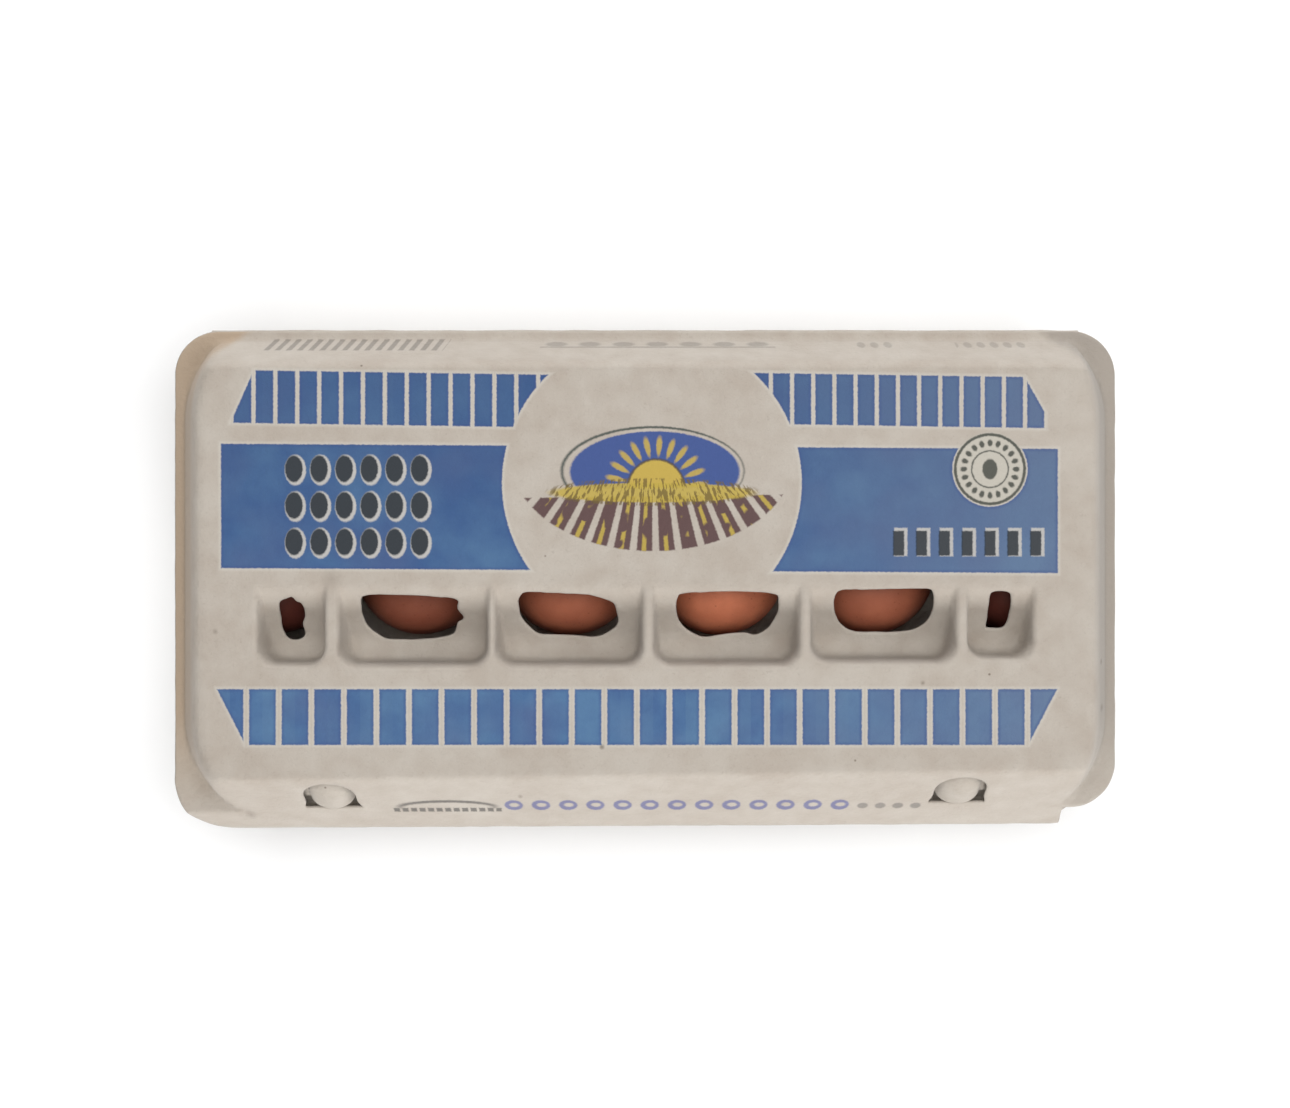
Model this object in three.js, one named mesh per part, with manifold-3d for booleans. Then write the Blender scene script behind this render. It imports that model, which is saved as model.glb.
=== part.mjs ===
// Egg carton for eighteen eggs in moulded paper pulp, shut, with the eggs in it.
// A tray of three rows of six cups carries the eggs. A lid with a printed top folds over it on a crease
// along the back rim, and two knobs on the tray's locking flap stand in two holes of the lid's front wall.
// Six sunk pockets in the lid come down between the middle and the front row, each with a window.
// Millimetres, +Z up, the front towards -Y, the origin under the middle of the whole pack.

import * as THREE from 'three';
import { mergeVertices } from 'three/addons/utils/BufferGeometryUtils.js';
import Module from 'manifold-3d';

const wasm = await Module();
wasm.setup();

// Driving dimensions of the pack
const COLUMNS = 6;
const ROWS = 3;
const PITCH = 48; // from egg to egg, both ways
const PULP = 1.8; // thickness of the moulded sheet
const GAP = 0.3; // left between faces that touch on the real pack
const RIM_HEIGHT = 44; // top of the tray's rim, where lid and tray part
const HEIGHT = 68; // top of the lid
const RIM_BEYOND_X = 5.4; // rim outside the outer cells, at the ends
const RIM_BEYOND_Y = 4; // the same along the back and the front
const RIM_CORNER = 14; // radius of the rim's corners in plan

const CELLS_X = (COLUMNS * PITCH) / 2;
const CELLS_Y = (ROWS * PITCH) / 2;
const HINGE_Y = CELLS_Y + RIM_BEYOND_Y;
const RIM_X = CELLS_X + RIM_BEYOND_X;
const RIM_Y = HINGE_Y - GAP / 2;

// Outside every wall, for cuts that go right through
const FAR = 200;
const OVERSHOOT = 2;
const CORNER_STEPS = 6; // faces round a quarter turn of the rim and of the lid's corners

// The lid's walls. Front and back lean back as flat planes, and ends and corners stand steeply.
const LID_FOOT = RIM_HEIGHT + GAP;
const FRONT_EDGE_Y = -63.5; // front edge of the lid's top
const SKIRT_FOOT_Y = -83.2; // lower edge of the front wall, which hangs over the rim as a skirt
const SKIRT_FOOT_Z = 35;
const SKIRT_RIGHT = 132; // the skirt ends square here, and on the left it runs round the rim's corner
const SKIRT_LEFT_CORNER = 17;
const BACK_EDGE_Y = 63;
const BACK_FOOT_Y = 73.4;
const END_FOOT_X = 147.2;
const END_TOP_X = 138.3;
const CORNER_Y = 46.5; // where the straight end turns into the corner
const CORNER_RADIUS_FOOT = 34.3;
const CORNER_RADIUS_TOP = 38;

// Pockets and windows in the lid's top
const POCKET_FLOOR = 54;
const POCKET_BACK_Y = -5.5;
const POCKET_FLOOR_BACK_Y = -22.5;
const POCKET_FLOOR_FRONT_Y = -28.6;
const POCKET_FRONT_Y = -30.3;
const POCKET_DRAFT = 2.4; // how far a side leans in down to the floor
const POCKET_HALF = PITCH / 2 - 1.4; // a ridge of 2.8 mm stays between two pockets
const POCKET_BACK_CORNER = 2.5;
const POCKET_FRONT_CORNER = 6;
const END_POCKET_X = 108.5;
const END_POCKET_HALF = 10.3;
const WINDOW_BACK_Y = -7.5;
const WINDOW_FRONT_Y = -22;
const WINDOW_HALF = 15.5;
const WINDOW_BACK_CORNER = 3;
const WINDOW_SWEEP = 10; // the front corners are swept far round
const END_WINDOW_HALF = 4.1;
const END_WINDOW_CORNER = 1.5;

// Locking flap with its two knobs, and the arched holes that they stand in
const FLAP_GAP = 0.6; // between the flap and the lid's front wall
const FLAP_HALF = 112;
const FLAP_TOP = 62.5;
const FLAP_CORNER = 8;
const KNOB_X = 98.5;
const HOLE_HALF = 8.4;
const HOLE_FOOT = 49;
const HOLE_TOP = 65.6;
const KNOB_HALF = 7.4;
const KNOB_FOOT = 49.8;
const KNOB_SHOULDER = 57.5;
const KNOB_TOP = 63.6;
const KNOB_ROOT = 1; // how deep the knob is rooted in the flap
const KNOB_STEPS = 5; // faces over the knob's round shoulder
const SWING_CLEARANCE = 0.4;
const SKIRT_CLEARANCE = 0.4; // between the tray's rim and the skirt that hangs in front of it

// Cups of the tray: the inside of one, from its floor up, as radius and height
const CUP_FLOOR_RADIUS = 9;
const CUP = [
  [CUP_FLOOR_RADIUS, PULP],
  [12.4, 7.5],
  [15.9, 15],
  [18.9, 20.8],
  [20.9, 26.2],
  [22.2, 33],
  [23.5, RIM_HEIGHT],
  [24.5, 52],
];
const CUP_SQUARENESS = 2.4; // 2 is a round cup, more is squarer
const SADDLE_HEIGHT = 25; // top of the low wall between two eggs
const BULGE_RADIUS = 21.8; // where the outer walls are high, one ring of faces follows the egg's bulge
const BULGE_WALL_HEIGHT = 33;
const POST_HEIGHT = POCKET_FLOOR - PULP - GAP; // the lid's pockets rest on the posts between four eggs
const POST_TIP_RADIUS = 3.5;
const POST_SLOPE = 3.8;
const POST_POINTEDNESS = 1.7; // under 2, so that a post's edges run out into the low walls
const LEDGE_SLOPE = 3; // from the rim down to the low walls
const LEDGE_FLAT = 0.6; // the rim is flat this far into the cells

// Eggs, blunt end up
const EGG_LENGTH = 54.6;
const EGG_WIDTH = 42.6;
const EGG_BLUNTNESS = 0.17;
const EGG_TIP_HEIGHT = 4.4;
const EGG_SPREAD = 0.018; // how much one egg's size differs from the next
const EGG_LEAN = 0.022; // radians
const EGG_LIFT = 0.4; // how much higher than the next one an egg may stand in its cup
const EGG_STEPS = 8; // faces from tip to tip
const SHAPE_SPREAD = 0.15; // how much one egg's bluntness differs from the next

const pulpWhite = new THREE.MeshStandardMaterial({ color: '#c3b8a7', roughness: 0.92, metalness: 0 });
const pulpTray = new THREE.MeshStandardMaterial({ color: '#bdb2a1', roughness: 0.95, metalness: 0 });
const shellBrown = new THREE.MeshStandardMaterial({ color: '#b4714b', roughness: 0.5, metalness: 0 });

// A closed geometry as a solid for joining and cutting, and back
function toSolid(geometry) {
  const bare = geometry.clone();
  for (const name of Object.keys(bare.attributes)) {
    if (name !== 'position') bare.deleteAttribute(name);
  }
  const merged = mergeVertices(bare, 1e-4);
  return new wasm.Manifold(
    new wasm.Mesh({
      numProp: 3,
      vertProperties: new Float32Array(merged.attributes.position.array),
      triVerts: new Uint32Array(merged.index.array),
    }),
  );
}

function toGeometry(solid) {
  const mesh = solid.getMesh();
  const geometry = new THREE.BufferGeometry();
  geometry.setAttribute('position', new THREE.BufferAttribute(new Float32Array(mesh.vertProperties), 3));
  geometry.setIndex(new THREE.BufferAttribute(new Uint32Array(mesh.triVerts), 1));
  geometry.computeVertexNormals();
  return geometry;
}

function polygon(points) {
  return new THREE.Shape(points.map(([x, y]) => new THREE.Vector2(x, y)));
}

// A flat shape drawn in (y, z), extruded along X between two ends
function alongX(shape, low, high) {
  const geometry = new THREE.ExtrudeGeometry(shape, { depth: high - low, bevelEnabled: false, curveSegments: 6 });
  const basis = new THREE.Matrix4().makeBasis(
    new THREE.Vector3(0, 1, 0),
    new THREE.Vector3(0, 0, 1),
    new THREE.Vector3(1, 0, 0),
  );
  return toSolid(geometry.applyMatrix4(basis).translate(low, 0, 0));
}

// A flat shape drawn in (x, z), extruded along Y between two ends
function alongY(shape, low, high) {
  const geometry = new THREE.ExtrudeGeometry(shape, { depth: high - low, bevelEnabled: false, curveSegments: 6 });
  return toSolid(geometry.rotateX(Math.PI / 2).translate(0, high, 0));
}

// A flat shape drawn in (x, y), extruded along Z between two ends
function alongZ(shape, low, high) {
  const geometry = new THREE.ExtrudeGeometry(shape, { depth: high - low, bevelEnabled: false, curveSegments: 6 });
  return toSolid(geometry.translate(0, 0, low));
}

function boxSolid(low, high) {
  const size = high.map((v, i) => v - low[i]);
  const middle = high.map((v, i) => (v + low[i]) / 2);
  return toSolid(new THREE.BoxGeometry(...size).translate(...middle));
}

// Points round a rectangle with round corners, anticlockwise from above. Each corner has its own radius,
// in the order back right, back left, front left, front right.
function roundedRing(low, high, radii, steps) {
  const corners = [
    [high[0] - radii[0], high[1] - radii[0], radii[0], 0],
    [low[0] + radii[1], high[1] - radii[1], radii[1], 1],
    [low[0] + radii[2], low[1] + radii[2], radii[2], 2],
    [high[0] - radii[3], low[1] + radii[3], radii[3], 3],
  ];
  const ring = [];
  for (const [x, y, radius, quarter] of corners) {
    if (radius === 0) {
      ring.push([x, y]);
      continue;
    }
    for (let i = 0; i <= steps; i++) {
      const angle = ((quarter + i / steps) * Math.PI) / 2;
      ring.push([x + radius * Math.cos(angle), y + radius * Math.sin(angle)]);
    }
  }
  return ring;
}

// A solid through rings of equal count, given from the lowest to the highest as {ring, z}
function loft(levels) {
  const count = levels[0].ring.length;
  const positions = [];
  for (const { ring, z } of levels) {
    for (const [x, y] of ring) positions.push(x, y, z);
  }
  const centreOf = (ring) => ring.reduce((sum, [x, y]) => [sum[0] + x / count, sum[1] + y / count], [0, 0]);
  const index = [];
  for (let level = 0; level < levels.length - 1; level++) {
    for (let i = 0; i < count; i++) {
      const a = level * count + i;
      const b = level * count + ((i + 1) % count);
      index.push(a, b, b + count, a, b + count, a + count);
    }
  }
  const bottom = positions.length / 3;
  positions.push(...centreOf(levels[0].ring), levels[0].z);
  const top = bottom + 1;
  const last = levels[levels.length - 1];
  positions.push(...centreOf(last.ring), last.z);
  const lastStart = (levels.length - 1) * count;
  for (let i = 0; i < count; i++) {
    const next = (i + 1) % count;
    index.push(bottom, next, i);
    index.push(top, lastStart + i, lastStart + next);
  }
  const geometry = new THREE.BufferGeometry();
  geometry.setAttribute('position', new THREE.Float32BufferAttribute(positions, 3));
  geometry.setIndex(index);
  return toSolid(geometry);
}

// The lid's front wall: how far forward its outer face is at a height
const FRONT_LEAN = (FRONT_EDGE_Y - SKIRT_FOOT_Y) / (HEIGHT - SKIRT_FOOT_Z);
const FRONT_THICKNESS = PULP * Math.hypot(1, FRONT_LEAN);
const frontWallY = (z) => SKIRT_FOOT_Y + (z - SKIRT_FOOT_Z) * FRONT_LEAN;

const BACK_LEAN = (BACK_FOOT_Y - BACK_EDGE_Y) / (HEIGHT - LID_FOOT);
const BACK_THICKNESS = PULP * Math.hypot(1, BACK_LEAN);
const backWallY = (z) => BACK_EDGE_Y + (HEIGHT - z) * BACK_LEAN;

const END_LEAN = (END_FOOT_X - END_TOP_X) / (HEIGHT - LID_FOOT);

// The lid's outline without its rim, or with inset 1 the hollow under its sheet. Front and back are planes, which
// the corners and ends cut off, except along the skirt, where the front plane goes on down past them.
function lidBody(inset) {
  const foot = inset ? SKIRT_FOOT_Z - 1 : SKIRT_FOOT_Z;
  const top = HEIGHT - inset * PULP;
  const front = (z) => frontWallY(z) + inset * FRONT_THICKNESS;
  const back = (z) => backWallY(z) - inset * BACK_THICKNESS;
  const wedge = alongX(
    polygon([
      [front(foot), foot],
      [back(foot), foot],
      [back(top), top],
      [front(top), top],
    ]),
    -FAR,
    FAR,
  );
  const level = (z) => {
    const share = (z - LID_FOOT) / (HEIGHT - LID_FOOT);
    const radius = CORNER_RADIUS_FOOT + share * (CORNER_RADIUS_TOP - CORNER_RADIUS_FOOT) - inset * PULP;
    const halfX = END_FOOT_X - (z - LID_FOOT) * END_LEAN - inset * PULP * Math.hypot(1, END_LEAN);
    const halfY = CORNER_Y + radius;
    return { ring: roundedRing([-halfX, -halfY], [halfX, halfY], Array(4).fill(radius), CORNER_STEPS), z };
  };
  const ends = loft([level(LID_FOOT - inset), level(top + 1)]);
  const skirtTop = LID_FOOT + (1 - inset) * PULP;
  const skirtLow = [-RIM_X - inset, SKIRT_FOOT_Y];
  const skirtHigh = [SKIRT_RIGHT + inset, SKIRT_FOOT_Y + SKIRT_LEFT_CORNER + 2 + inset];
  const skirtPlan = polygon(roundedRing(skirtLow, skirtHigh, [1, 1, SKIRT_LEFT_CORNER, 0], CORNER_STEPS));
  return wedge.intersect(ends.add(alongZ(skirtPlan, foot - 1, skirtTop)));
}

// Pockets: a hollow with a sloping back, open at the top, or with grow 1 the sheet round it
function pocketBody(middle, half, grow) {
  const slope = (POCKET_BACK_Y - POCKET_FLOOR_BACK_Y) / (HEIGHT - POCKET_FLOOR);
  const slopeThickness = PULP * Math.hypot(1, slope);
  const frontLean = (POCKET_FLOOR_FRONT_Y - POCKET_FRONT_Y) / (HEIGHT - POCKET_FLOOR);
  const level = (z, drawn) => {
    const down = HEIGHT - z;
    const halfX = half - (POCKET_DRAFT * down) / (HEIGHT - POCKET_FLOOR) + grow * PULP;
    const back = POCKET_BACK_Y - slope * down + grow * slopeThickness;
    const front = POCKET_FRONT_Y + frontLean * down - grow * PULP;
    const radii = [POCKET_BACK_CORNER, POCKET_BACK_CORNER, POCKET_FRONT_CORNER, POCKET_FRONT_CORNER];
    return { ring: roundedRing([middle - halfX, front], [middle + halfX, back], radii, 3), z: drawn };
  };
  const floor = POCKET_FLOOR - grow * PULP;
  const rise = grow ? HEIGHT - PULP / 2 : HEIGHT;
  const levels = [level(floor, floor), level(rise, rise)];
  if (!grow) levels.push(level(rise, HEIGHT + OVERSHOOT));
  return loft(levels);
}

function windowShape(middle, half) {
  const small = half < POCKET_HALF / 2;
  const corner = small ? END_WINDOW_CORNER : WINDOW_BACK_CORNER;
  const sweep = small ? END_WINDOW_CORNER : WINDOW_SWEEP;
  const low = [middle - half, WINDOW_FRONT_Y];
  const high = [middle + half, WINDOW_BACK_Y];
  return polygon(roundedRing(low, high, [corner, corner, sweep, sweep], 4));
}

// An arch on a straight foot, drawn in (x, z)
function archShape(middle, half, foot, top) {
  const shape = new THREE.Shape();
  shape.moveTo(middle - half, foot);
  shape.lineTo(middle + half, foot);
  shape.absarc(middle, top - half, half, 0, Math.PI, false);
  shape.closePath();
  return shape;
}

const rimOutline = () =>
  polygon(roundedRing([-RIM_X, -RIM_Y], [RIM_X, RIM_Y], Array(4).fill(RIM_CORNER), CORNER_STEPS));

function buildLid() {
  const rim = alongZ(rimOutline(), LID_FOOT, LID_FOOT + PULP);
  let lid = lidBody(0).add(rim).subtract(lidBody(1));

  const pockets = [-1.5, -0.5, 0.5, 1.5].map((n) => [n * PITCH, POCKET_HALF, WINDOW_HALF]);
  pockets.push([-END_POCKET_X, END_POCKET_HALF, END_WINDOW_HALF]);
  pockets.push([END_POCKET_X, END_POCKET_HALF, END_WINDOW_HALF]);
  for (const [middle, half] of pockets) lid = lid.add(pocketBody(middle, half, 1));
  for (const [middle, half, windowHalf] of pockets) {
    lid = lid.subtract(pocketBody(middle, half, 0));
    lid = lid.subtract(alongZ(windowShape(middle, windowHalf), RIM_HEIGHT, HEIGHT + OVERSHOOT));
  }
  for (const side of [-1, 1]) {
    const hole = archShape(side * KNOB_X, HOLE_HALF, HOLE_FOOT, HOLE_TOP);
    lid = lid.subtract(alongY(hole, -FAR, FRONT_EDGE_Y + FRONT_THICKNESS + OVERSHOOT));
  }
  return lid;
}

// Height of a cup's inside at a squarish distance from the egg's axis
function cupHeight(distance) {
  if (distance <= CUP[0][0]) return CUP[0][1];
  for (let i = 1; i < CUP.length; i++) {
    const [r0, z0] = CUP[i - 1];
    const [r1, z1] = CUP[i];
    if (distance <= r1) return z0 + ((z1 - z0) * (distance - r0)) / (r1 - r0);
  }
  return CUP[CUP.length - 1][1];
}

const powerDistance = (x, y, power) =>
  Math.pow(Math.pow(Math.abs(x), power) + Math.pow(Math.abs(y), power), 1 / power);

// How high the tray may stand at a point of plan: low walls, posts between four eggs, and the rim
function capHeight(x, y) {
  let height = SADDLE_HEIGHT;
  const insideX = CELLS_X - Math.abs(x);
  const insideY = CELLS_Y - Math.abs(y);
  const inside = Math.min(insideX, insideY);
  height = Math.max(height, RIM_HEIGHT - LEDGE_SLOPE * Math.max(0, inside - LEDGE_FLAT));
  const postX = Math.round(x / PITCH) * PITCH;
  const postY = y < 0 ? -PITCH / 2 : PITCH / 2;
  if (Math.abs(postX) < CELLS_X - PITCH / 2) {
    const away = powerDistance(x - postX, y - postY, POST_POINTEDNESS);
    height = Math.max(height, POST_HEIGHT - POST_SLOPE * Math.max(0, away - POST_TIP_RADIUS));
  }
  return height;
}

// One cell of the tray as a fan and rings of faces from the cup's floor out to the cell's square edge
const RAYS = 16;
const RING_RADII = [CUP_FLOOR_RADIUS, 14.2, 18.9];

function addCell(cx, cy, triangles) {
  const rings = RING_RADII.map(() => []);
  rings.push([], [], []);
  for (let k = 0; k < RAYS; k++) {
    const angle = (k / RAYS) * 2 * Math.PI;
    const stretch = PITCH / 2 / Math.max(Math.abs(Math.cos(angle)), Math.abs(Math.sin(angle)));
    const edge = [Math.cos(angle) * stretch, Math.sin(angle) * stretch];
    const edgeDistance = powerDistance(...edge, CUP_SQUARENESS);
    const at = (share, z) => new THREE.Vector3(cx + edge[0] * share, cy + edge[1] * share, z);
    const wall = (share) => cupHeight(share * edgeDistance);
    const cap = (share) => capHeight(cx + edge[0] * share, cy + edge[1] * share);
    // the lip is where the cup's wall meets the cap, found by halving
    let low = CUP_FLOOR_RADIUS / edgeDistance;
    let high = 1;
    for (let step = 0; step < 30; step++) {
      const middle = (low + high) / 2;
      if (wall(middle) < cap(middle)) low = middle;
      else high = middle;
    }
    const lip = low;
    RING_RADII.forEach((radius, i) => rings[i].push(at(radius / edgeDistance, cupHeight(radius))));
    const lastShare = RING_RADII[RING_RADII.length - 1] / edgeDistance;
    const bulgeShare = wall(lip) > BULGE_WALL_HEIGHT ? BULGE_RADIUS / edgeDistance : (lastShare + lip) / 2;
    rings[3].push(at(bulgeShare, wall(bulgeShare)));
    rings[4].push(at(lip, wall(lip)));
    rings[5].push(at(1, cap(1)));
  }
  const centre = new THREE.Vector3(cx, cy, PULP);
  for (let k = 0; k < RAYS; k++) {
    const next = (k + 1) % RAYS;
    triangles.push([centre, rings[0][k], rings[0][next]]);
    for (let i = 0; i < rings.length - 1; i++) {
      const quad = [rings[i][k], rings[i + 1][k], rings[i + 1][next], rings[i][next]];
      // the shorter diagonal keeps posts and corners clean
      if (quad[0].distanceTo(quad[2]) < quad[1].distanceTo(quad[3])) {
        triangles.push([quad[0], quad[1], quad[2]], [quad[0], quad[2], quad[3]]);
      } else {
        triangles.push([quad[0], quad[1], quad[3]], [quad[1], quad[2], quad[3]]);
      }
    }
  }
}

// The flat rim, a strip from the outer cells' edge to a plain rectangle that is trimmed round afterwards
function addRim(triangles) {
  const edge = [];
  const half = PITCH / 2;
  const along = [-half, -half * Math.tan(Math.PI / 8), 0, half * Math.tan(Math.PI / 8)];
  for (let c = 0; c < COLUMNS; c++) for (const u of along) edge.push([-CELLS_X + half + c * PITCH + u, -CELLS_Y]);
  for (let r = 0; r < ROWS; r++) for (const v of along) edge.push([CELLS_X, -CELLS_Y + half + r * PITCH + v]);
  for (let c = 0; c < COLUMNS; c++) for (const u of along) edge.push([CELLS_X - half - c * PITCH - u, CELLS_Y]);
  for (let r = 0; r < ROWS; r++) for (const v of along) edge.push([-CELLS_X, CELLS_Y - half - r * PITCH - v]);
  const outside = edge.map(([x, y]) => [(x * RIM_X) / CELLS_X, (y * RIM_Y) / CELLS_Y]);
  const lift = ([x, y]) => new THREE.Vector3(x, y, RIM_HEIGHT);
  for (let i = 0; i < edge.length; i++) {
    const next = (i + 1) % edge.length;
    triangles.push([lift(edge[i]), lift(outside[i]), lift(outside[next])]);
    triangles.push([lift(edge[i]), lift(outside[next]), lift(edge[next])]);
  }
}

const PLANE_SOFTNESS = 0.004;

// Solves the small system that moves a corner off all the faces round it by the same distance
function offsetStep(normals, distance) {
  const m = [0, 0, 0, 0, 0, 0, 0, 0, 0];
  const right = new THREE.Vector3();
  for (const n of normals) {
    const c = [n.x, n.y, n.z];
    for (let i = 0; i < 3; i++) for (let j = 0; j < 3; j++) m[i * 3 + j] += c[i] * c[j];
    right.addScaledVector(n, -distance);
  }
  const soft = PLANE_SOFTNESS * normals.length; // keeps the answer short where the faces are nearly one plane
  const mean = normals.reduce((sum, n) => sum.add(n), new THREE.Vector3()).normalize();
  for (let i = 0; i < 3; i++) m[i * 4] += soft;
  right.addScaledVector(mean, -distance * soft);
  const matrix = new THREE.Matrix3().set(...m);
  return right.applyMatrix3(matrix.invert());
}

const SAME_PLANE = 0.9999; // cosine of the angle under which two faces count as one plane
const FOOT_TOLERANCE = 0.1;

// A closed sheet: the given upper faces, the same faces one thickness lower, and a strip round the border
function thicken(triangles, thickness) {
  const soup = new THREE.BufferGeometry().setFromPoints(triangles.flat());
  const merged = mergeVertices(soup, 1e-3);
  const position = merged.attributes.position;
  const index = Array.from(merged.index.array).filter((_, i, all) => {
    const t = i - (i % 3);
    return all[t] !== all[t + 1] && all[t + 1] !== all[t + 2] && all[t] !== all[t + 2];
  });
  const count = position.count;
  const points = Array.from({ length: count }, (_, i) => new THREE.Vector3().fromBufferAttribute(position, i));
  const around = points.map(() => []);
  const borders = new Map();
  for (let t = 0; t < index.length; t += 3) {
    const [a, b, c] = [index[t], index[t + 1], index[t + 2]];
    const normal = new THREE.Vector3()
      .crossVectors(points[b].clone().sub(points[a]), points[c].clone().sub(points[a]))
      .normalize();
    for (const v of [a, b, c]) {
      if (!around[v].some((n) => n.dot(normal) > SAME_PLANE)) around[v].push(normal);
    }
    for (const [p, q] of [[a, b], [b, c], [c, a]]) {
      const back = q + '_' + p;
      if (borders.has(back)) borders.delete(back);
      else borders.set(p + '_' + q, [p, q]);
    }
  }
  const lower = points.map((p, i) => p.clone().add(offsetStep(around[i], thickness)));
  for (const p of lower) if (Math.abs(p.z) < FOOT_TOLERANCE) p.z = 0; // the cups' feet stand flat
  const all = [...points, ...lower];
  const faces = [...index];
  for (let t = 0; t < index.length; t += 3) {
    faces.push(index[t] + count, index[t + 2] + count, index[t + 1] + count);
  }
  for (const [p, q] of borders.values()) {
    faces.push(q, p, p + count, q, p + count, q + count);
  }
  const geometry = new THREE.BufferGeometry().setFromPoints(all);
  geometry.setIndex(faces);
  return toSolid(geometry);
}

// The locking flap stands up from the front rim just behind the lid's front wall, with a knob near each end
function flapSolid() {
  const inner = (z) => frontWallY(z) + FRONT_THICKNESS;
  const outerY = (z) => inner(z) + FLAP_GAP * Math.hypot(1, FRONT_LEAN);
  const foot = RIM_HEIGHT - PULP / 2; // inside the rim's own thickness
  const sheet = alongX(
    polygon([
      [outerY(foot), foot],
      [outerY(foot) + FRONT_THICKNESS, foot],
      [outerY(FLAP_TOP) + FRONT_THICKNESS, FLAP_TOP],
      [outerY(FLAP_TOP), FLAP_TOP],
    ]),
    -FLAP_HALF,
    FLAP_HALF,
  );
  const below = foot - FLAP_CORNER;
  const radii = [FLAP_CORNER, FLAP_CORNER, 1, 1];
  const face = roundedRing([-FLAP_HALF, below], [FLAP_HALF, FLAP_TOP], radii, 4);
  let flap = sheet.intersect(alongY(polygon(face), -FAR, 0));

  // the knob's nose keeps inside the circle that the lower edge of the hole makes when the lid swings
  const hingeZ = RIM_HEIGHT + GAP / 2;
  const swing = Math.hypot(HINGE_Y - inner(HOLE_FOOT), HOLE_FOOT - hingeZ) - SWING_CLEARANCE;
  const nose = (z) => HINGE_Y - Math.sqrt(swing * swing - (z - hingeZ) ** 2);
  const profile = [[outerY(KNOB_FOOT) + KNOB_ROOT, KNOB_FOOT]];
  profile.push([outerY(KNOB_TOP) + KNOB_ROOT, KNOB_TOP]);
  for (let i = 0; i <= KNOB_STEPS; i++) {
    const turn = ((1 - i / KNOB_STEPS) * Math.PI) / 2;
    const z = KNOB_SHOULDER + (KNOB_TOP - KNOB_SHOULDER) * Math.sin(turn);
    profile.push([nose(KNOB_SHOULDER) + (outerY(KNOB_TOP) - nose(KNOB_SHOULDER)) * (1 - Math.cos(turn)), z]);
  }
  profile.push([nose(KNOB_FOOT), KNOB_FOOT]);
  for (const side of [-1, 1]) {
    const front = alongY(archShape(side * KNOB_X, KNOB_HALF, KNOB_FOOT, KNOB_TOP), -FAR, 0);
    const body = alongX(polygon(profile), side * KNOB_X - KNOB_HALF - OVERSHOOT, side * KNOB_X + KNOB_HALF + OVERSHOOT);
    flap = flap.add(front.intersect(body));
  }
  return flap;
}

function buildTray() {
  const triangles = [];
  for (let r = 0; r < ROWS; r++) {
    for (let c = 0; c < COLUMNS; c++) {
      addCell(-CELLS_X + (c + 0.5) * PITCH, -CELLS_Y + (r + 0.5) * PITCH, triangles);
    }
  }
  addRim(triangles);
  let tray = thicken(triangles, PULP).intersect(alongZ(rimOutline(), -1, HEIGHT));
  // the lid's skirt passes in front of the rim, so the rim steps back there
  const edge = frontWallY(RIM_HEIGHT) + FRONT_THICKNESS + SKIRT_CLEARANCE;
  tray = tray.subtract(boxSolid([-FAR, -FAR, 0], [SKIRT_RIGHT + SKIRT_CLEARANCE, edge, HEIGHT]));
  return tray.add(flapSolid());
}

// Eggs differ a little, by a rule with a fixed start
let seed = 20611;
function chance() {
  seed = (seed * 16807) % 2147483647;
  return (seed / 2147483647) * 2 - 1;
}

function eggMesh(row, column) {
  const length = EGG_LENGTH * (1 + EGG_SPREAD * chance());
  const width = EGG_WIDTH * (1 + (EGG_SPREAD / 2) * chance());
  const bluntness = EGG_BLUNTNESS * (1 + SHAPE_SPREAD * chance());
  const shape = (u) => Math.sqrt(Math.max(0, 1 - u * u)) * Math.exp(bluntness * u);
  // the height where the egg is widest, from the shape's slope
  const widestAt = (Math.sqrt(1 + 4 * bluntness * bluntness) - 1) / (2 * bluntness);
  const profile = [];
  for (let i = 0; i <= EGG_STEPS; i++) {
    const u = -Math.cos((i / EGG_STEPS) * Math.PI);
    const radius = ((width / 2) * shape(u)) / shape(widestAt);
    profile.push(new THREE.Vector2(i === 0 || i === EGG_STEPS ? 0 : radius, (length / 2) * u));
  }
  const geometry = new THREE.LatheGeometry(profile, RAYS);
  geometry.rotateX(Math.PI / 2);
  const mesh = new THREE.Mesh(geometry, shellBrown);
  mesh.name = 'egg_row' + (row + 1) + '_column' + (column + 1);
  mesh.position.set(
    -CELLS_X + (column + 0.5) * PITCH,
    -CELLS_Y + (row + 0.5) * PITCH,
    EGG_TIP_HEIGHT + length / 2 + EGG_LIFT * Math.abs(chance()),
  );
  mesh.rotation.set(EGG_LEAN * chance(), EGG_LEAN * chance(), 0);
  return mesh;
}

const carton = new THREE.Group();
carton.name = 'egg_carton';

const tray = new THREE.Mesh(toGeometry(buildTray()), pulpTray);
tray.name = 'tray';
carton.add(tray);

const lid = new THREE.Mesh(toGeometry(buildLid()), pulpWhite);
lid.name = 'lid';
carton.add(lid);

for (let row = 0; row < ROWS; row++) {
  for (let column = 0; column < COLUMNS; column++) carton.add(eggMesh(row, column));
}

// the skirt reaches further forward than the rim reaches back, so the pack is moved to stand over the origin
carton.position.y = -(SKIRT_FOOT_Y + RIM_Y) / 2;

export default carton;
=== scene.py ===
import math

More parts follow.
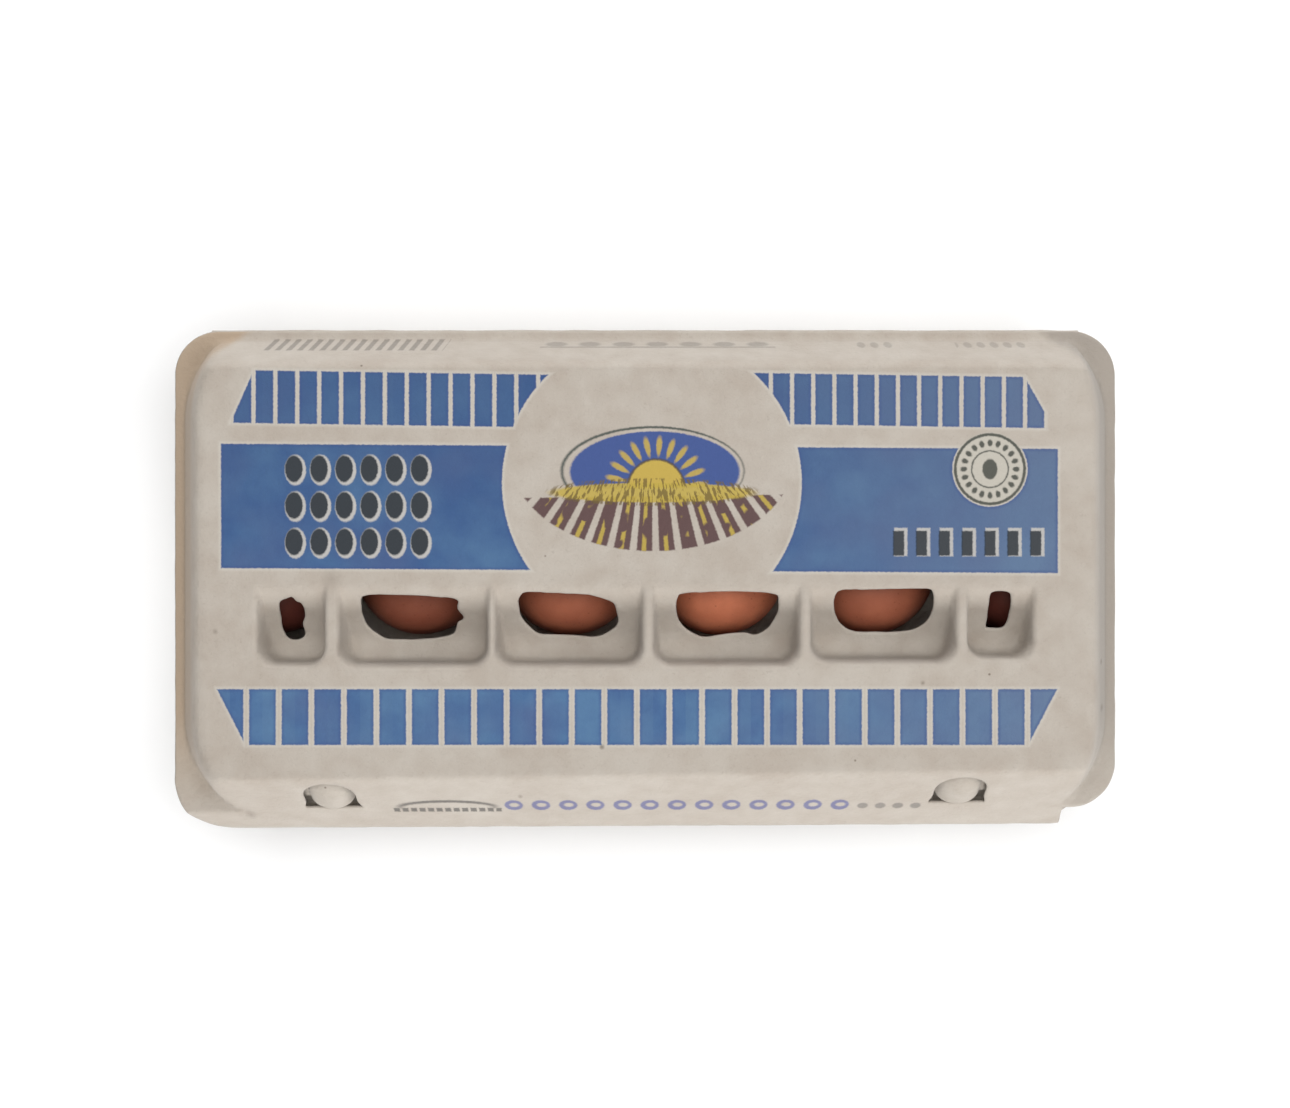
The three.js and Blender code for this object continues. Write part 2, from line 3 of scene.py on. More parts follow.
import bpy
import numpy as np
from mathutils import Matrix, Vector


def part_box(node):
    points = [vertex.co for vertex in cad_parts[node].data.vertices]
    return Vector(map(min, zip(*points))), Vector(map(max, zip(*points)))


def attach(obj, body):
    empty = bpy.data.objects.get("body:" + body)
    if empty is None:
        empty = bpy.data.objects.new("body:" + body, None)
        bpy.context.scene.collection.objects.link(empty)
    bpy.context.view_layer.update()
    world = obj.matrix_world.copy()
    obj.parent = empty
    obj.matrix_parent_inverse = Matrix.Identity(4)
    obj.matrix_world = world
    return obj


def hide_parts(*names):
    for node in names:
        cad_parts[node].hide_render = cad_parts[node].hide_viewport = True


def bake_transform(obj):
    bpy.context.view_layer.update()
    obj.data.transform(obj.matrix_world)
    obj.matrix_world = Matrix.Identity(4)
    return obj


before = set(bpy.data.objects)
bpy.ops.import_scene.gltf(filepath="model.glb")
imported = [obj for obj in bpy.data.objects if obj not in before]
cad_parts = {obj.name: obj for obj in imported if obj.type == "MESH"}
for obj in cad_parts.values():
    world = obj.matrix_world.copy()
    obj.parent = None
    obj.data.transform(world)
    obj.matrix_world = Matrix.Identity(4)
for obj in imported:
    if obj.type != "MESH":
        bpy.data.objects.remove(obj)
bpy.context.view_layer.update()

# Lid
# One sheet of grey-white paper pulp, dried on a wire mould and pressed, with leaning walls and six sunk
# pockets with punched windows. Its rim lies on the tray's rim, and the crease holds it along the back. Its
# front wall hangs over that rim as a skirt, with two arched holes for the tray's knobs.

MM = 0.001
PULP = 1.8
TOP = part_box("lid")[1].z / MM
RIM_HALF_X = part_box("lid")[1].x / MM
RIM_HALF_Y = 75.85
# the rim's middle, from where all lengths below are measured
MIDDLE_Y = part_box("lid")[1].y / MM - RIM_HALF_Y
RIM_CORNER = 14
CREASE_ROOM = 0.5  # both back rims stay this far short, so that they clear each other with the lid open
RIM_TOP = 46.1
LID_FOOT = RIM_TOP - PULP

SKIRT_FOOT_Z = 35
SKIRT_FOOT_Y = -83.5
SKIRT_SLANT = 0.0055  # the skirt's foot isn't quite parallel to the rim
FRONT_EDGE_Y = -63.6
FRONT_EDGE_SLANT = 0.012
SKIRT_RIGHT = 132.6
SKIRT_END_SLANT = 0.2  # the right end of the skirt runs out a little towards its foot
SKIRT_LEFT_CORNER = 17
BACK_EDGE_Y = 63
BACK_LEAN = 0.4388
END_FOOT_X = 147.2
END_TOP_X = 138.3
CORNER_Y = 46.5
CORNER_RADIUS_FOOT = 34.3
CORNER_RADIUS_TOP = 38

POCKET_FLOOR = 54
POCKET_BACK_Y = -5.3
POCKET_SLOPE = 14 / 17
POCKET_DRAFT = 2.2
POCKET_FRONT_CORNER = 6
# middle, half width and front edge of each pocket
POCKETS = [
    (-108.6, 10.5, -30.2),
    (-71.2, 23.2, -30.4),
    (-23.4, 22.8, -30.4),
    (25.0, 22.6, -30.2),
    (73.1, 22.4, -29.2),
    (109.0, 10.2, -28.0),
]
# outline of each punched window, clockwise from its left side. Some edges are torn.
WINDOWS = [
    [(-113, -10.2), (-110.6, -8.8), (-108.6, -8.4), (-107.4, -9.7), (-106.1, -10.3), (-105.3, -12.3)]
    + [(-105.4, -14.8), (-106.4, -17.2), (-106, -19.9), (-106.8, -21.6), (-109.1, -22.5), (-112.1, -21.8)]
    + [(-113.3, -18.8), (-113.4, -14.5)],
    [(-87.7, -9.2), (-86.2, -7.9), (-83, -7.5), (-74.9, -7.7), (-65.2, -8.2), (-57.9, -9.2), (-57.9, -12.2)]
    + [(-56.2, -14.8), (-56.9, -16.1), (-58.1, -16.9), (-59.5, -20), (-62.6, -21.4), (-69.2, -22.2)]
    + [(-78, -22.3), (-82.4, -21.5), (-86.6, -18), (-87.9, -13.7)],
    [(-39.3, -10.1), (-38.2, -7.6), (-36.1, -6.8), (-25.2, -7.2), (-17.5, -7.6), (-13, -8.8), (-9.4, -10.6)]
    + [(-8.4, -13.7), (-8.3, -16.9), (-10.6, -19.4), (-15.3, -21.4), (-24.1, -20.9), (-32.4, -20.6)]
    + [(-35.9, -18.5), (-38.6, -15.1)],
    [(9.4, -11.4), (9.8, -8.5), (11.2, -7.3), (17.8, -6.8), (25.5, -6.5), (33.4, -6.7), (40.3, -7.6)]
    + [(41.4, -10.1), (41.3, -13.5), (38.8, -18.3), (34.6, -20.8), (30.6, -20.1), (24.4, -20.8)]
    + [(18.2, -21.5), (13.2, -19.3), (10.2, -15.9)],
    [(58.1, -10.9), (58.3, -7.9), (60.3, -6.2), (67.9, -6), (77.8, -5.8), (86.7, -5.8), (88.8, -7.2)]
    + [(89.4, -11.6), (88.2, -15.9), (84.7, -18.8), (79.4, -19.9), (71.4, -19.9), (65.1, -19.7)]
    + [(61, -17.5), (59, -14.5)],
    [(106.2, -18), (106.1, -15.1), (106, -11.1), (106.1, -7.3), (108.5, -6.4), (111.9, -7), (113, -8.9)]
    + [(113.2, -13), (112.7, -17.2), (111, -18.7), (107.9, -18.6)],
]
CURVE_STEPS = 5

KNOB_X = 98.5
HOLE_HALF = 8.3
HOLE_FOOT = 49
HOLE_TOP = 65.4
HOLE_FLARE = 1.1  # the hole's feet run out to points
LEVEL_PULP = PULP * 1.17  # the leaning front wall's thickness, measured level

chance = np.random.default_rng(20611)
HILLS = chance.uniform(-1, 1, (64, 64))


def ripple(x, y, size, start=0):
    """Smooth unevenness between -1 and 1 with hills about size apart."""
    u = x / size + 32 + start
    v = y / size + 32 + 2 * start
    i = np.floor(u).astype(int)
    j = np.floor(v).astype(int)
    u = (u - i) ** 2 * (3 - 2 * (u - i))
    v = (v - j) ** 2 * (3 - 2 * (v - j))
    near = HILLS[i % 64, j % 64] * (1 - u) + HILLS[(i + 1) % 64, j % 64] * u
    far = HILLS[i % 64, (j + 1) % 64] * (1 - u) + HILLS[(i + 1) % 64, (j + 1) % 64] * u
    return near * (1 - v) + far * v


def smooth_min(a, b, blend):
    share = np.clip(0.5 + 0.5 * (b - a) / blend, 0, 1)
    return b + (a - b) * share - blend * share * (1 - share)


def smooth_max(a, b, blend):
    return -smooth_min(-a, -b, blend)


def rounded_box(x, y, half_x, half_y, radius):
    """Distance from a rectangle with round corners round the origin, negative inside it."""
    away_x = np.abs(x) - half_x + radius
    away_y = np.abs(y) - half_y + radius
    corner = np.hypot(np.maximum(away_x, 0), np.maximum(away_y, 0))
    return corner + np.minimum(np.maximum(away_x, away_y), 0) - radius


def skirt_foot_y(x):
    return SKIRT_FOOT_Y + SKIRT_SLANT * x


def front_lean(x):
    return (FRONT_EDGE_Y + FRONT_EDGE_SLANT * x - skirt_foot_y(x)) / (TOP - SKIRT_FOOT_Z)


def front_wall_y(x, z):
    return skirt_foot_y(x) + (z - SKIRT_FOOT_Z) * front_lean(x)


def front_wall_z(x, y):
    return SKIRT_FOOT_Z + (y - skirt_foot_y(x)) / front_lean(x)


def end_wall_z(x, y):
    """Height of the leaning ends and round corners, found by halving."""
    low = np.full(np.shape(x), -1.5)
    high = np.full(np.shape(x), 3.0)
    for step in range(14):
        share = (low + high) / 2
        radius = CORNER_RADIUS_FOOT + share * (CORNER_RADIUS_TOP - CORNER_RADIUS_FOOT)
        half = END_FOOT_X - share * (END_FOOT_X - END_TOP_X)
        outside = rounded_box(x, y, half, CORNER_Y + radius, radius) > 0
        high = np.where(outside, share, high)
        low = np.where(outside, low, share)
    return LID_FOOT + low * (TOP - LID_FOOT)


def lid_height(x, y):
    front = front_wall_z(x, y)
    z = TOP - 0.25 + 0.2 * ripple(x, y, 31) + 0.08 * ripple(x, y, 9, 3)
    z = smooth_min(z, front, 2.6)
    z = smooth_min(z, TOP - (y - BACK_EDGE_Y) / BACK_LEAN, 5)
    z = smooth_min(z, end_wall_z(x, y), 5)
    for middle, half, front_y in POCKETS:
        depth = rounded_box(x - middle, y - front_y - half, half, half, POCKET_FRONT_CORNER)
        behind = y > front_y + half
        depth = np.where(behind, np.abs(x - middle) - half, depth)
        wall = TOP + depth * (TOP - POCKET_FLOOR) / POCKET_DRAFT
        slope = TOP + (y - POCKET_BACK_Y) * POCKET_SLOPE
        hollow = smooth_max(smooth_max(wall, slope, 2.5), POCKET_FLOOR + 0.2 * ripple(x, y, 13), 2.5)
        z = smooth_min(z, hollow, 1.8)
    shelf = smooth_min(RIM_TOP, front, 0.8)
    return smooth_max(z, shelf, 0.8)


def smooth_outline(corners):
    """A closed smooth curve through the corners, as short straight steps."""
    here = np.array(corners, float)[:, None, :]
    before = np.roll(here, 1, axis=0)
    ahead = np.roll(here, -1, axis=0)
    beyond = np.roll(here, -2, axis=0)
    t = (np.arange(CURVE_STEPS) / CURVE_STEPS)[None, :, None]
    square = 2 * before - 5 * here + 4 * ahead - beyond
    cube = 3 * here - before - 3 * ahead + beyond
    return ((2 * here + (ahead - before) * t + square * t**2 + cube * t**3) / 2).reshape(-1, 2)


WINDOW_OUTLINES = [smooth_outline(corners) for corners in WINDOWS]


def outline_depth(x, y, outline):
    """How far inside a closed outline a point lies."""
    nearest = np.full(np.shape(x), 99.0)
    inside = np.zeros(np.shape(x), bool)
    for start, end in zip(outline, np.roll(outline, -1, axis=0)):
        edge = end - start
        share = ((x - start[0]) * edge[0] + (y - start[1]) * edge[1]) / (edge @ edge)
        share = np.clip(share, 0, 1)
        away = np.hypot(x - start[0] - share * edge[0], y - start[1] - share * edge[1])
        nearest = np.minimum(nearest, away)
        crosses = (start[1] > y) != (end[1] > y)
        side = (x - start[0]) * edge[1] < (y - start[1]) * edge[0]
        inside ^= crosses & (side ^ (edge[1] < 0))
    return np.where(inside, nearest, -nearest)


def window_depth(x, y):
    """How far inside a window a point of plan lies, as far as 3 mm round each."""
    deepest = np.full(np.shape(x), -50.0)
    for outline in WINDOW_OUTLINES:
        low = outline.min(axis=0) - 3
        high = outline.max(axis=0) + 3
        near = (x > low[0]) & (x < high[0]) & (y > low[1]) & (y < high[1])
        if near.any():
            deepest[near] = outline_depth(x[near], y[near], outline)
    return deepest + 0.1 * ripple(x, y, 1.7, 9)


def knob_hole_depth(x, y):
    """How far inside an arched hole of the front wall a point of plan lies."""
    z = front_wall_z(x, y)
    centre = HOLE_TOP - HOLE_HALF
    flare = HOLE_FLARE * np.clip((HOLE_FOOT + 4 - z) / 4, 0, 1)
    deepest = np.full(np.shape(x), -50.0)
    for side in (-1, 1):
        across = np.abs(x - side * KNOB_X)
        below = np.minimum(HOLE_HALF + flare - across, z - HOLE_FOOT)
        above = HOLE_HALF - np.hypot(across, z - centre)
        deepest = np.maximum(deepest, np.where(z < centre, below, above))
    return deepest


def lid_cover(x, y):
    """Positive where the lid's sheet is, zero on its edges."""
    rim = rounded_box(x, y + CREASE_ROOM / 2, RIM_HALF_X, RIM_HALF_Y - CREASE_ROOM / 2, RIM_CORNER)
    half = (RIM_HALF_X + SKIRT_RIGHT) / 2
    reach = 2 * SKIRT_LEFT_CORNER
    middle_x = (SKIRT_RIGHT - RIM_HALF_X) / 2
    corner = np.where(x < middle_x, SKIRT_LEFT_CORNER, 0.5)
    run_out = np.where(x > 0, SKIRT_END_SLANT * np.maximum(-RIM_HALF_Y - y, 0), 0)
    skirt = rounded_box(x - run_out - middle_x, y - skirt_foot_y(x) - reach, half, reach, corner)
    inside = -np.minimum(rim, skirt) + 0.12 * ripple(x, y, 4, 7)
    return np.minimum(inside, np.minimum(-window_depth(x, y), -knob_hole_depth(x, y)))


def underside(height, x, y):
    """Lower face of a sheet, as low as a ball of its thickness reaches that rolls on the upper face."""
    lowest = height(x, y) - PULP
    for reach in (0.4, 0.7, 0.88, 1.0):
        drop = PULP * math.sqrt(1 - reach**2)
        for turn in np.arange(12) * math.tau / 12:
            beside = height(x + PULP * reach * math.cos(turn), y + PULP * reach * math.sin(turn))
            lowest = np.minimum(lowest, beside - drop)
    return lowest


def graded_lines(low, high, coarse, fine, spots):
    """Grid lines from low to high, closer together around the spots."""
    steps = np.linspace(low, high, 6000)
    away = np.min(np.abs(steps[:, None] - np.array(spots)[None, :]), axis=1)
    spacing = fine + (coarse - fine) * np.clip((away - 1.6) / 3, 0, 1)
    count = np.cumsum((steps[1] - steps[0]) / spacing)
    return np.interp(np.linspace(0, count[-1], math.ceil(count[-1]) + 1), count, steps)


def covered_cells(x, y, cover):
    """Which cells of a grid lie on the sheet, and which grid points lie along its edges."""
    kept = cover((x[1:, 1:] + x[:-1, :-1]) / 2, (y[1:, 1:] + y[:-1, :-1]) / 2) > 0
    around = np.zeros((4, *x.shape), bool)
    around[0, :-1, :-1] = kept
    around[1, :-1, 1:] = kept
    around[2, 1:, :-1] = kept
    around[3, 1:, 1:] = kept
    return kept, around.any(axis=0) & ~around.all(axis=0)


def snap_to_edge(x, y, loose, cover):
    """Moves the loose grid points onto the line where cover is zero."""
    nudge = 0.05
    for step in range(5):
        here = cover(x, y)
        slope_x = (cover(x + nudge, y) - cover(x - nudge, y)) / (2 * nudge)
        slope_y = (cover(x, y + nudge) - cover(x, y - nudge)) / (2 * nudge)
        pull = np.clip(here / (slope_x**2 + slope_y**2 + 0.05), -1, 1)
        x = np.where(loose, x - pull * slope_x, x)
        y = np.where(loose, y - pull * slope_y, y)
    return x, y


def grid_faces(kept):
    rows, columns = kept.shape
    index = np.arange((rows + 1) * (columns + 1)).reshape(rows + 1, columns + 1)
    corners = (index[:-1, :-1], index[:-1, 1:], index[1:, 1:], index[1:, :-1])
    return np.stack([corner[kept] for corner in corners], axis=1).tolist()


def pulp_shell(name, upper, lower, faces, materials):
    """A closed sheet of pulp from its upper faces, the same faces below them, and a rounded edge between.
    The first material is the upper face's, the last the rest's."""
    open_edges = {}
    for face in faces:
        for start, end in zip(face, face[1:] + face[:1]):
            if open_edges.pop((end, start), None) is None:
                open_edges[(start, end)] = True
    outward = np.zeros_like(upper)
    for start, end in open_edges:
        across = np.cross(upper[end] - upper[start], upper[start] - lower[start])
        across /= np.linalg.norm(across) + 1e-9
        outward[start] += across
        outward[end] += across
    length = np.linalg.norm(outward, axis=1, keepdims=True)
    middle = (upper + lower) / 2 + outward / np.maximum(length, 1e-9) * PULP * 0.16
    count = len(upper)
    below = [[index + count for index in reversed(face)] for face in faces]
    rim = []
    for start, end in open_edges:
        rim.append([end, start, start + 2 * count, end + 2 * count])
        rim.append([end + 2 * count, start + 2 * count, start + count, end + count])
    every_face = faces + below + rim
    points = np.concatenate([upper, lower, middle])
    used = np.unique(np.concatenate([np.array(face) for face in every_face]))
    place = np.zeros(len(points), int)
    place[used] = np.arange(len(used))
    points = points[used] + np.array([0, MIDDLE_Y, 0])
    every_face = [[int(place[index]) for index in face] for face in every_face]
    mesh = bpy.data.meshes.new(name)
    mesh.from_pydata((points * MM).tolist(), [], every_face)
    mesh.polygons.foreach_set("use_smooth", [True] * len(every_face))
    for material in materials:
        mesh.materials.append(material)
    rest = len(materials) - 1
    slots = [0] * len(faces) + [rest] * (len(every_face) - len(faces))
    mesh.polygons.foreach_set("material_index", slots)
    piece = bpy.data.objects.new(name, mesh)
    bpy.context.scene.collection.objects.link(piece)
    return piece


# Moulded pulp
# Waste paper pulp dried on a wire mould: a matt, warm grey felt with soft blotches a few centimetres across,
# short darker fibres, specks of dirt and a fine uneven nap.


def linear(colour):
    """An sRGB hex value as linear red, green, blue and alpha."""
    channels = [int(colour[i : i + 2], 16) / 255 for i in (1, 3, 5)]
    return tuple(c / 12.92 if c < 0.04045 else ((c + 0.055) / 1.055) ** 2.4 for c in channels) + (1.0,)


def add(tree, kind, inputs, **settings):
    """Adds a node. An input is a value, a socket, or a node whose first output is meant."""
    made = tree.nodes.new("ShaderNode" + kind)
    for name, value in settings.items():
        setattr(made, name, value)
    for name, value in inputs.items():
        if isinstance(value, bpy.types.Node):
            value = value.outputs[0]
        if isinstance(value, bpy.types.NodeSocket):
            tree.links.new(value, made.inputs[name])
        else:
            made.inputs[name].default_value = value
    return made


BLOTCH_SIZE = 0.028
CLOUD_SIZE = 0.007
FIBRE_SIZE = 0.0011  # real fibres are finer, drawn as coarse as they show
NAP_SIZE = 0.0016
SPECK_SPACING = 0.019
SPECK_SIZE = 0.0005


def mix(tree, share, under, over):
    return add(tree, "Mix", {0: share, 6: under, 7: over}, data_type="RGBA").outputs[2]


def maths(tree, operation, *values):
    return add(tree, "Math", dict(enumerate(values)), operation=operation)


def vector_maths(tree, operation, *values):
    return add(tree, "VectorMath", dict(enumerate(values)), operation=operation)


def noise(tree, place, size, detail, **more):
    """Smooth noise whose hills are about size apart."""
    return add(tree, "TexNoise", {"Vector": place, "Scale": 1 / size, "Detail": detail, **more})


def remapped(tree, value, low, high, start=0.0, end=1.0):
    """A value from low to high, brought between start and end."""
    ends = {"From Min": low, "From Max": high, "To Min": start, "To Max": end}
    return add(tree, "MapRange", {"Value": value, **ends})


def new_material(name):
    material = bpy.data.materials.new(name)
    material.use_nodes = True
    material.node_tree.nodes.clear()
    return material, material.node_tree


def pulp_colour(tree, place, pale, deep, fibre, speck):
    """Colour of the bare pulp before any print."""
    blotch = noise(tree, place, BLOTCH_SIZE, 3.0)
    cloud = noise(tree, place, CLOUD_SIZE, 4.0)
    both = maths(tree, "ADD", blotch, cloud)
    share = remapped(tree, both, 0.72, 1.28)
    colour = mix(tree, share, linear(pale), linear(deep))
    strands = noise(tree, place, FIBRE_SIZE, 3.0, Distortion=1.6)
    strand_share = remapped(tree, strands, 0.58, 0.76, end=0.3)
    colour = mix(tree, strand_share, colour, linear(fibre))
    cells = add(tree, "TexVoronoi", {"Vector": place, "Scale": 1 / SPECK_SPACING})
    edge = SPECK_SIZE / SPECK_SPACING
    dots = remapped(tree, cells, 0.4 * edge, edge, 0.75, 0.0)
    return mix(tree, dots, colour, linear(speck))


def pulp_surface(tree, place, colour, relief):
    """Shader, bump and output of a pulp face."""
    nap = noise(tree, place, NAP_SIZE, 5.0, Roughness=0.62)
    bump = add(tree, "Bump", {"Height": nap, "Strength": 0.55, "Distance": relief})
    shader = add(
        tree,
        "BsdfPrincipled",
        {
            "Base Color": colour,
            "Roughness": 0.93,
            "IOR": 1.45,
            "Specular IOR Level": 0.25,
            "Sheen Weight": 0.12,
            "Sheen Roughness": 0.6,
            "Normal": bump,
        },
    )
    add(tree, "OutputMaterial", {"Surface": shader})


bare_pulp, tree = new_material("moulded_paper_pulp_bare")
place = add(tree, "TexCoord", {}).outputs["Object"]
colour = pulp_colour(tree, place, "#b0a89e", "#a69d92", "#8d8479", "#5d5145")
pulp_surface(tree, place, colour, 0.0007)

# Print on the lid
# Water-based flexographic ink on the raw pulp: thin, blotchy blue with frayed, darker edges, and small signs
# in slate, yellow and brown. The pulp is a shade paler beside the ink. The leaning ends and round corners
# are painted browner and darker as painted shade, the left end most.

printed_pulp, tree = new_material("moulded_paper_pulp_printed")
place = add(tree, "TexCoord", {}).outputs["Object"]
paper = pulp_colour(tree, place, "#b2aaa0", "#a99f94", "#8f867b", "#5d5145")
plan = add(
    tree,
    "Mapping",
    {"Vector": place, "Location": (0, -MIDDLE_Y, 0), "Scale": (1 / MM, 1 / MM, 0)},
)
FRAY_SIZE = 0.0007  # real fraying follows single fibres, drawn as coarse as it shows
FRAY = 0.5
fray = noise(tree, place, FRAY_SIZE, 2.0)
fray = vector_maths(tree, "SUBTRACT", fray.outputs["Color"], (0.5, 0.5, 0.5))
fray = add(tree, "VectorMath", {0: fray, "Scale": FRAY}, operation="SCALE")
plan = vector_maths(tree, "ADD", plan, fray)
FAR = 1000


def both(*depths):
    """Inside all of the shapes."""
    deepest = depths[0]
    for depth in depths[1:]:
        deepest = maths(tree, "MINIMUM", deepest, depth)
    return deepest


def either(*depths):
    """Inside one of the shapes or more."""
    deepest = depths[0]
    for depth in depths[1:]:
        deepest = maths(tree, "MAXIMUM", deepest, depth)
    return deepest


def box_shape(where, low, high):
    """Depth inside a rectangle, in millimetres."""
    middle = ((low[0] + high[0]) / 2, (low[1] + high[1]) / 2, 0)
    half = ((high[0] - low[0]) / 2, (high[1] - low[1]) / 2, FAR)
    away = vector_maths(tree, "SUBTRACT", where, middle)
    away = vector_maths(tree, "ABSOLUTE", away)
    depth = vector_maths(tree, "SUBTRACT", half, away)
    sides = add(tree, "SeparateXYZ", {0: depth})
    return maths(tree, "MINIMUM", sides.outputs[0], sides.outputs[1])


def oval_shape(where, middle, half):
    """Depth inside an oval, in millimetres."""
    away = vector_maths(tree, "SUBTRACT", where, (*middle, 0))
    away = vector_maths(tree, "DIVIDE", away, (*half, FAR))
    reach = vector_maths(tree, "LENGTH", away).outputs["Value"]
    return maths(tree, "MULTIPLY_ADD", reach, -min(half), min(half))


def side_of_line(where, start, end):
    """Distance to the left of a line from start to end, in millimetres."""
    length = math.dist(start, end)
    normal = (-(end[1] - start[1]) / length, (end[0] - start[0]) / length, 0)
    away = vector_maths(tree, "SUBTRACT", where, (*start, 0))
    return vector_maths(tree, "DOT_PRODUCT", away, normal).outputs["Value"]


def outside(depth, gap=0.0):
    """Depth outside a shape, from gap millimetres beyond its edge."""
    return maths(tree, "MULTIPLY_ADD", depth, -1.0, -gap)


def repeated(where, first, pitch):
    """Coordinates round the nearest of many middles, pitch apart, of which first is one."""
    away = vector_maths(tree, "SUBTRACT", where, (*first, 0))
    half = (pitch[0] / 2, pitch[1] / 2, FAR)
    return vector_maths(tree, "WRAP", away, half, tuple(-h for h in half))


def inked(depth, soft=0.2):
    """Share of ink over a depth, from nothing outside to full inside."""
    return remapped(tree, depth, -soft, soft).outputs[0]


# the pale disc in the middle cuts into stripes and band
DISC = (2.1, 26.4)
DISC_RADIUS = 45.9
outside_disc = outside(oval_shape(plan, DISC, (DISC_RADIUS, DISC_RADIUS)))


def oblique(lean, slant):
    """What leaning shapes add to plan coordinates: lean times y to x, and slant times x to y."""
    sides = add(tree, "SeparateXYZ", {0: plan})
    add_x = maths(tree, "MULTIPLY", sides.outputs[1], lean)
    add_y = maths(tree, "MULTIPLY", sides.outputs[0], slant)
    return add(tree, "CombineXYZ", {0: add_x, 1: add_y})


# all stripes lie a little askew, as the printing plate did
upper_plan = vector_maths(tree, "ADD", plan, oblique(0, 0.015))
band_plan = vector_maths(tree, "ADD", plan, oblique(0, 0.006))

UPPER_LEFT_PITCH = 6.71
upper_left = both(
    box_shape(repeated(upper_plan, (-116.6, 0), (UPPER_LEFT_PITCH, FAR)), (-2.72, -FAR), (2.72, FAR)),
    box_shape(upper_plan, (-127, 42.9), (0, 59.1)),
    side_of_line(upper_plan, (-119.8, 59.2), (-126.8, 43.4)),
    outside_disc,
)
UPPER_RIGHT_PITCH = 6.49
upper_right = both(
    box_shape(repeated(upper_plan, (113.2, 0), (UPPER_RIGHT_PITCH, FAR)), (-2.62, -FAR), (2.62, FAR)),
    box_shape(upper_plan, (0, 45.0), (122.6, 60.6)),
    side_of_line(upper_plan, (125.3, 45.0), (116.4, 60.4)),
    outside_disc,
)
band = both(box_shape(band_plan, (-129.9, -0.5), (126.5, 37.6)), outside_disc)
LOWER_PITCH = 9.975
lower = both(
    box_shape(repeated(plan, (-117.2, 0), (LOWER_PITCH, FAR)), (-4.1, -FAR), (4.1, FAR)),
    box_shape(plan, (-131.2, -53.9), (126.3, -36.8)),
    side_of_line(plan, (-131.2, -36.8), (-121.6, -55.5)),
    side_of_line(plan, (116.6, -55.5), (126.3, -36.8)),
)
blue = either(upper_left, upper_right, band, lower)

# the seal on the right: a pale disc with a dark ring, a ring of dots, a thin ring and an oval in the middle
SEAL = (105.7, 30.6)
seal_disc = oval_shape(plan, SEAL, (11.2, 11.2))
blue = both(blue, outside(seal_disc, 0.3))


def ring(where, middle, radius, width):
    """Depth inside a round line."""
    disc = oval_shape(where, middle, (radius, radius))
    away = maths(tree, "ABSOLUTE", disc)
    return maths(tree, "SUBTRACT", width / 2, away)


def turned(where, middle, radius):
    """Coordinates along and across a circle, in millimetres."""
    away = vector_maths(tree, "SUBTRACT", where, (*middle, 0))
    sides = add(tree, "SeparateXYZ", {0: away})
    angle = maths(tree, "ARCTAN2", sides.outputs[1], sides.outputs[0])
    along = maths(tree, "MULTIPLY", angle, radius)
    reach = vector_maths(tree, "LENGTH", away).outputs["Value"]
    across = maths(tree, "SUBTRACT", reach, radius)
    return add(tree, "CombineXYZ", {0: along, 1: across})


SEAL_DOTS = 20
SEAL_DOTS_RADIUS = 8.0
seal_turn = turned(plan, SEAL, SEAL_DOTS_RADIUS)
seal_dot = repeated(seal_turn, (0, 0), (SEAL_DOTS_RADIUS * math.tau / SEAL_DOTS, FAR))
seal_lines = either(
    ring(plan, SEAL, 10.6, 0.9),
    oval_shape(seal_dot, (0, 0), (0.75, 1.05)),
    ring(plan, SEAL, 5.6, 0.45),
    oval_shape(plan, SEAL, (2.3, 3.1)),
)

# the left of the band: three rows of six eggs, dark with pale rims set off to the lower right
EGG_SIGN_PITCH = (7.7, 11.2)
egg_field = box_shape(plan, (-111.2, 2.5), (-65.0, 36.1))
egg_sign = repeated(plan, (-107.3, 8.1), EGG_SIGN_PITCH)
dark_eggs = both(oval_shape(egg_sign, (-0.25, 0.2), (2.7, 4.1)), egg_field)
pale_eggs = both(oval_shape(egg_sign, (0.2, -0.15), (3.25, 4.7)), egg_field)

# the right of the band: a row of upright bars with pale rims set off to the upper right
bar_field = box_shape(plan, (74.6, 2.4), (123.6, 13.6))
bar_sign = repeated(plan, (78.1, 8.1), (7.0, FAR))
dark_bars = both(box_shape(bar_sign, (-2.1, -4.0), (1.3, 3.6)), bar_field)
pale_bars = both(box_shape(bar_sign, (-1.8, -4.2), (2.3, 4.5)), bar_field)

# the middle: a half sun in a blue oval sky above ploughed furrows
SUN = (3.4, 25.0)
horizon = side_of_line(plan, (-60, 24.0), (60, 25.5))
sky_oval = oval_shape(plan, (2.3, 30.0), (28.2, 13.8))
sky_line = both(sky_oval, outside(oval_shape(plan, (2.6, 29.9), (27.6, 13.2))), horizon)
sky = both(oval_shape(plan, (3.0, 29.8), (26.0, 12.4)), horizon)
sun_disc = both(oval_shape(plan, SUN, (8.6, 8.6)), horizon)
SUN_RAYS = 22
SUN_RAYS_RADIUS = 12.6
ray_turn = turned(plan, SUN, SUN_RAYS_RADIUS)
ray = repeated(ray_turn, (0.9, 0), (SUN_RAYS_RADIUS * math.tau / SUN_RAYS, FAR))
sun_rays = both(oval_shape(ray, (0, 0), (0.85, 3.0)), horizon)
sun_line = both(ring(plan, SUN, 8.6, 0.7), horizon)
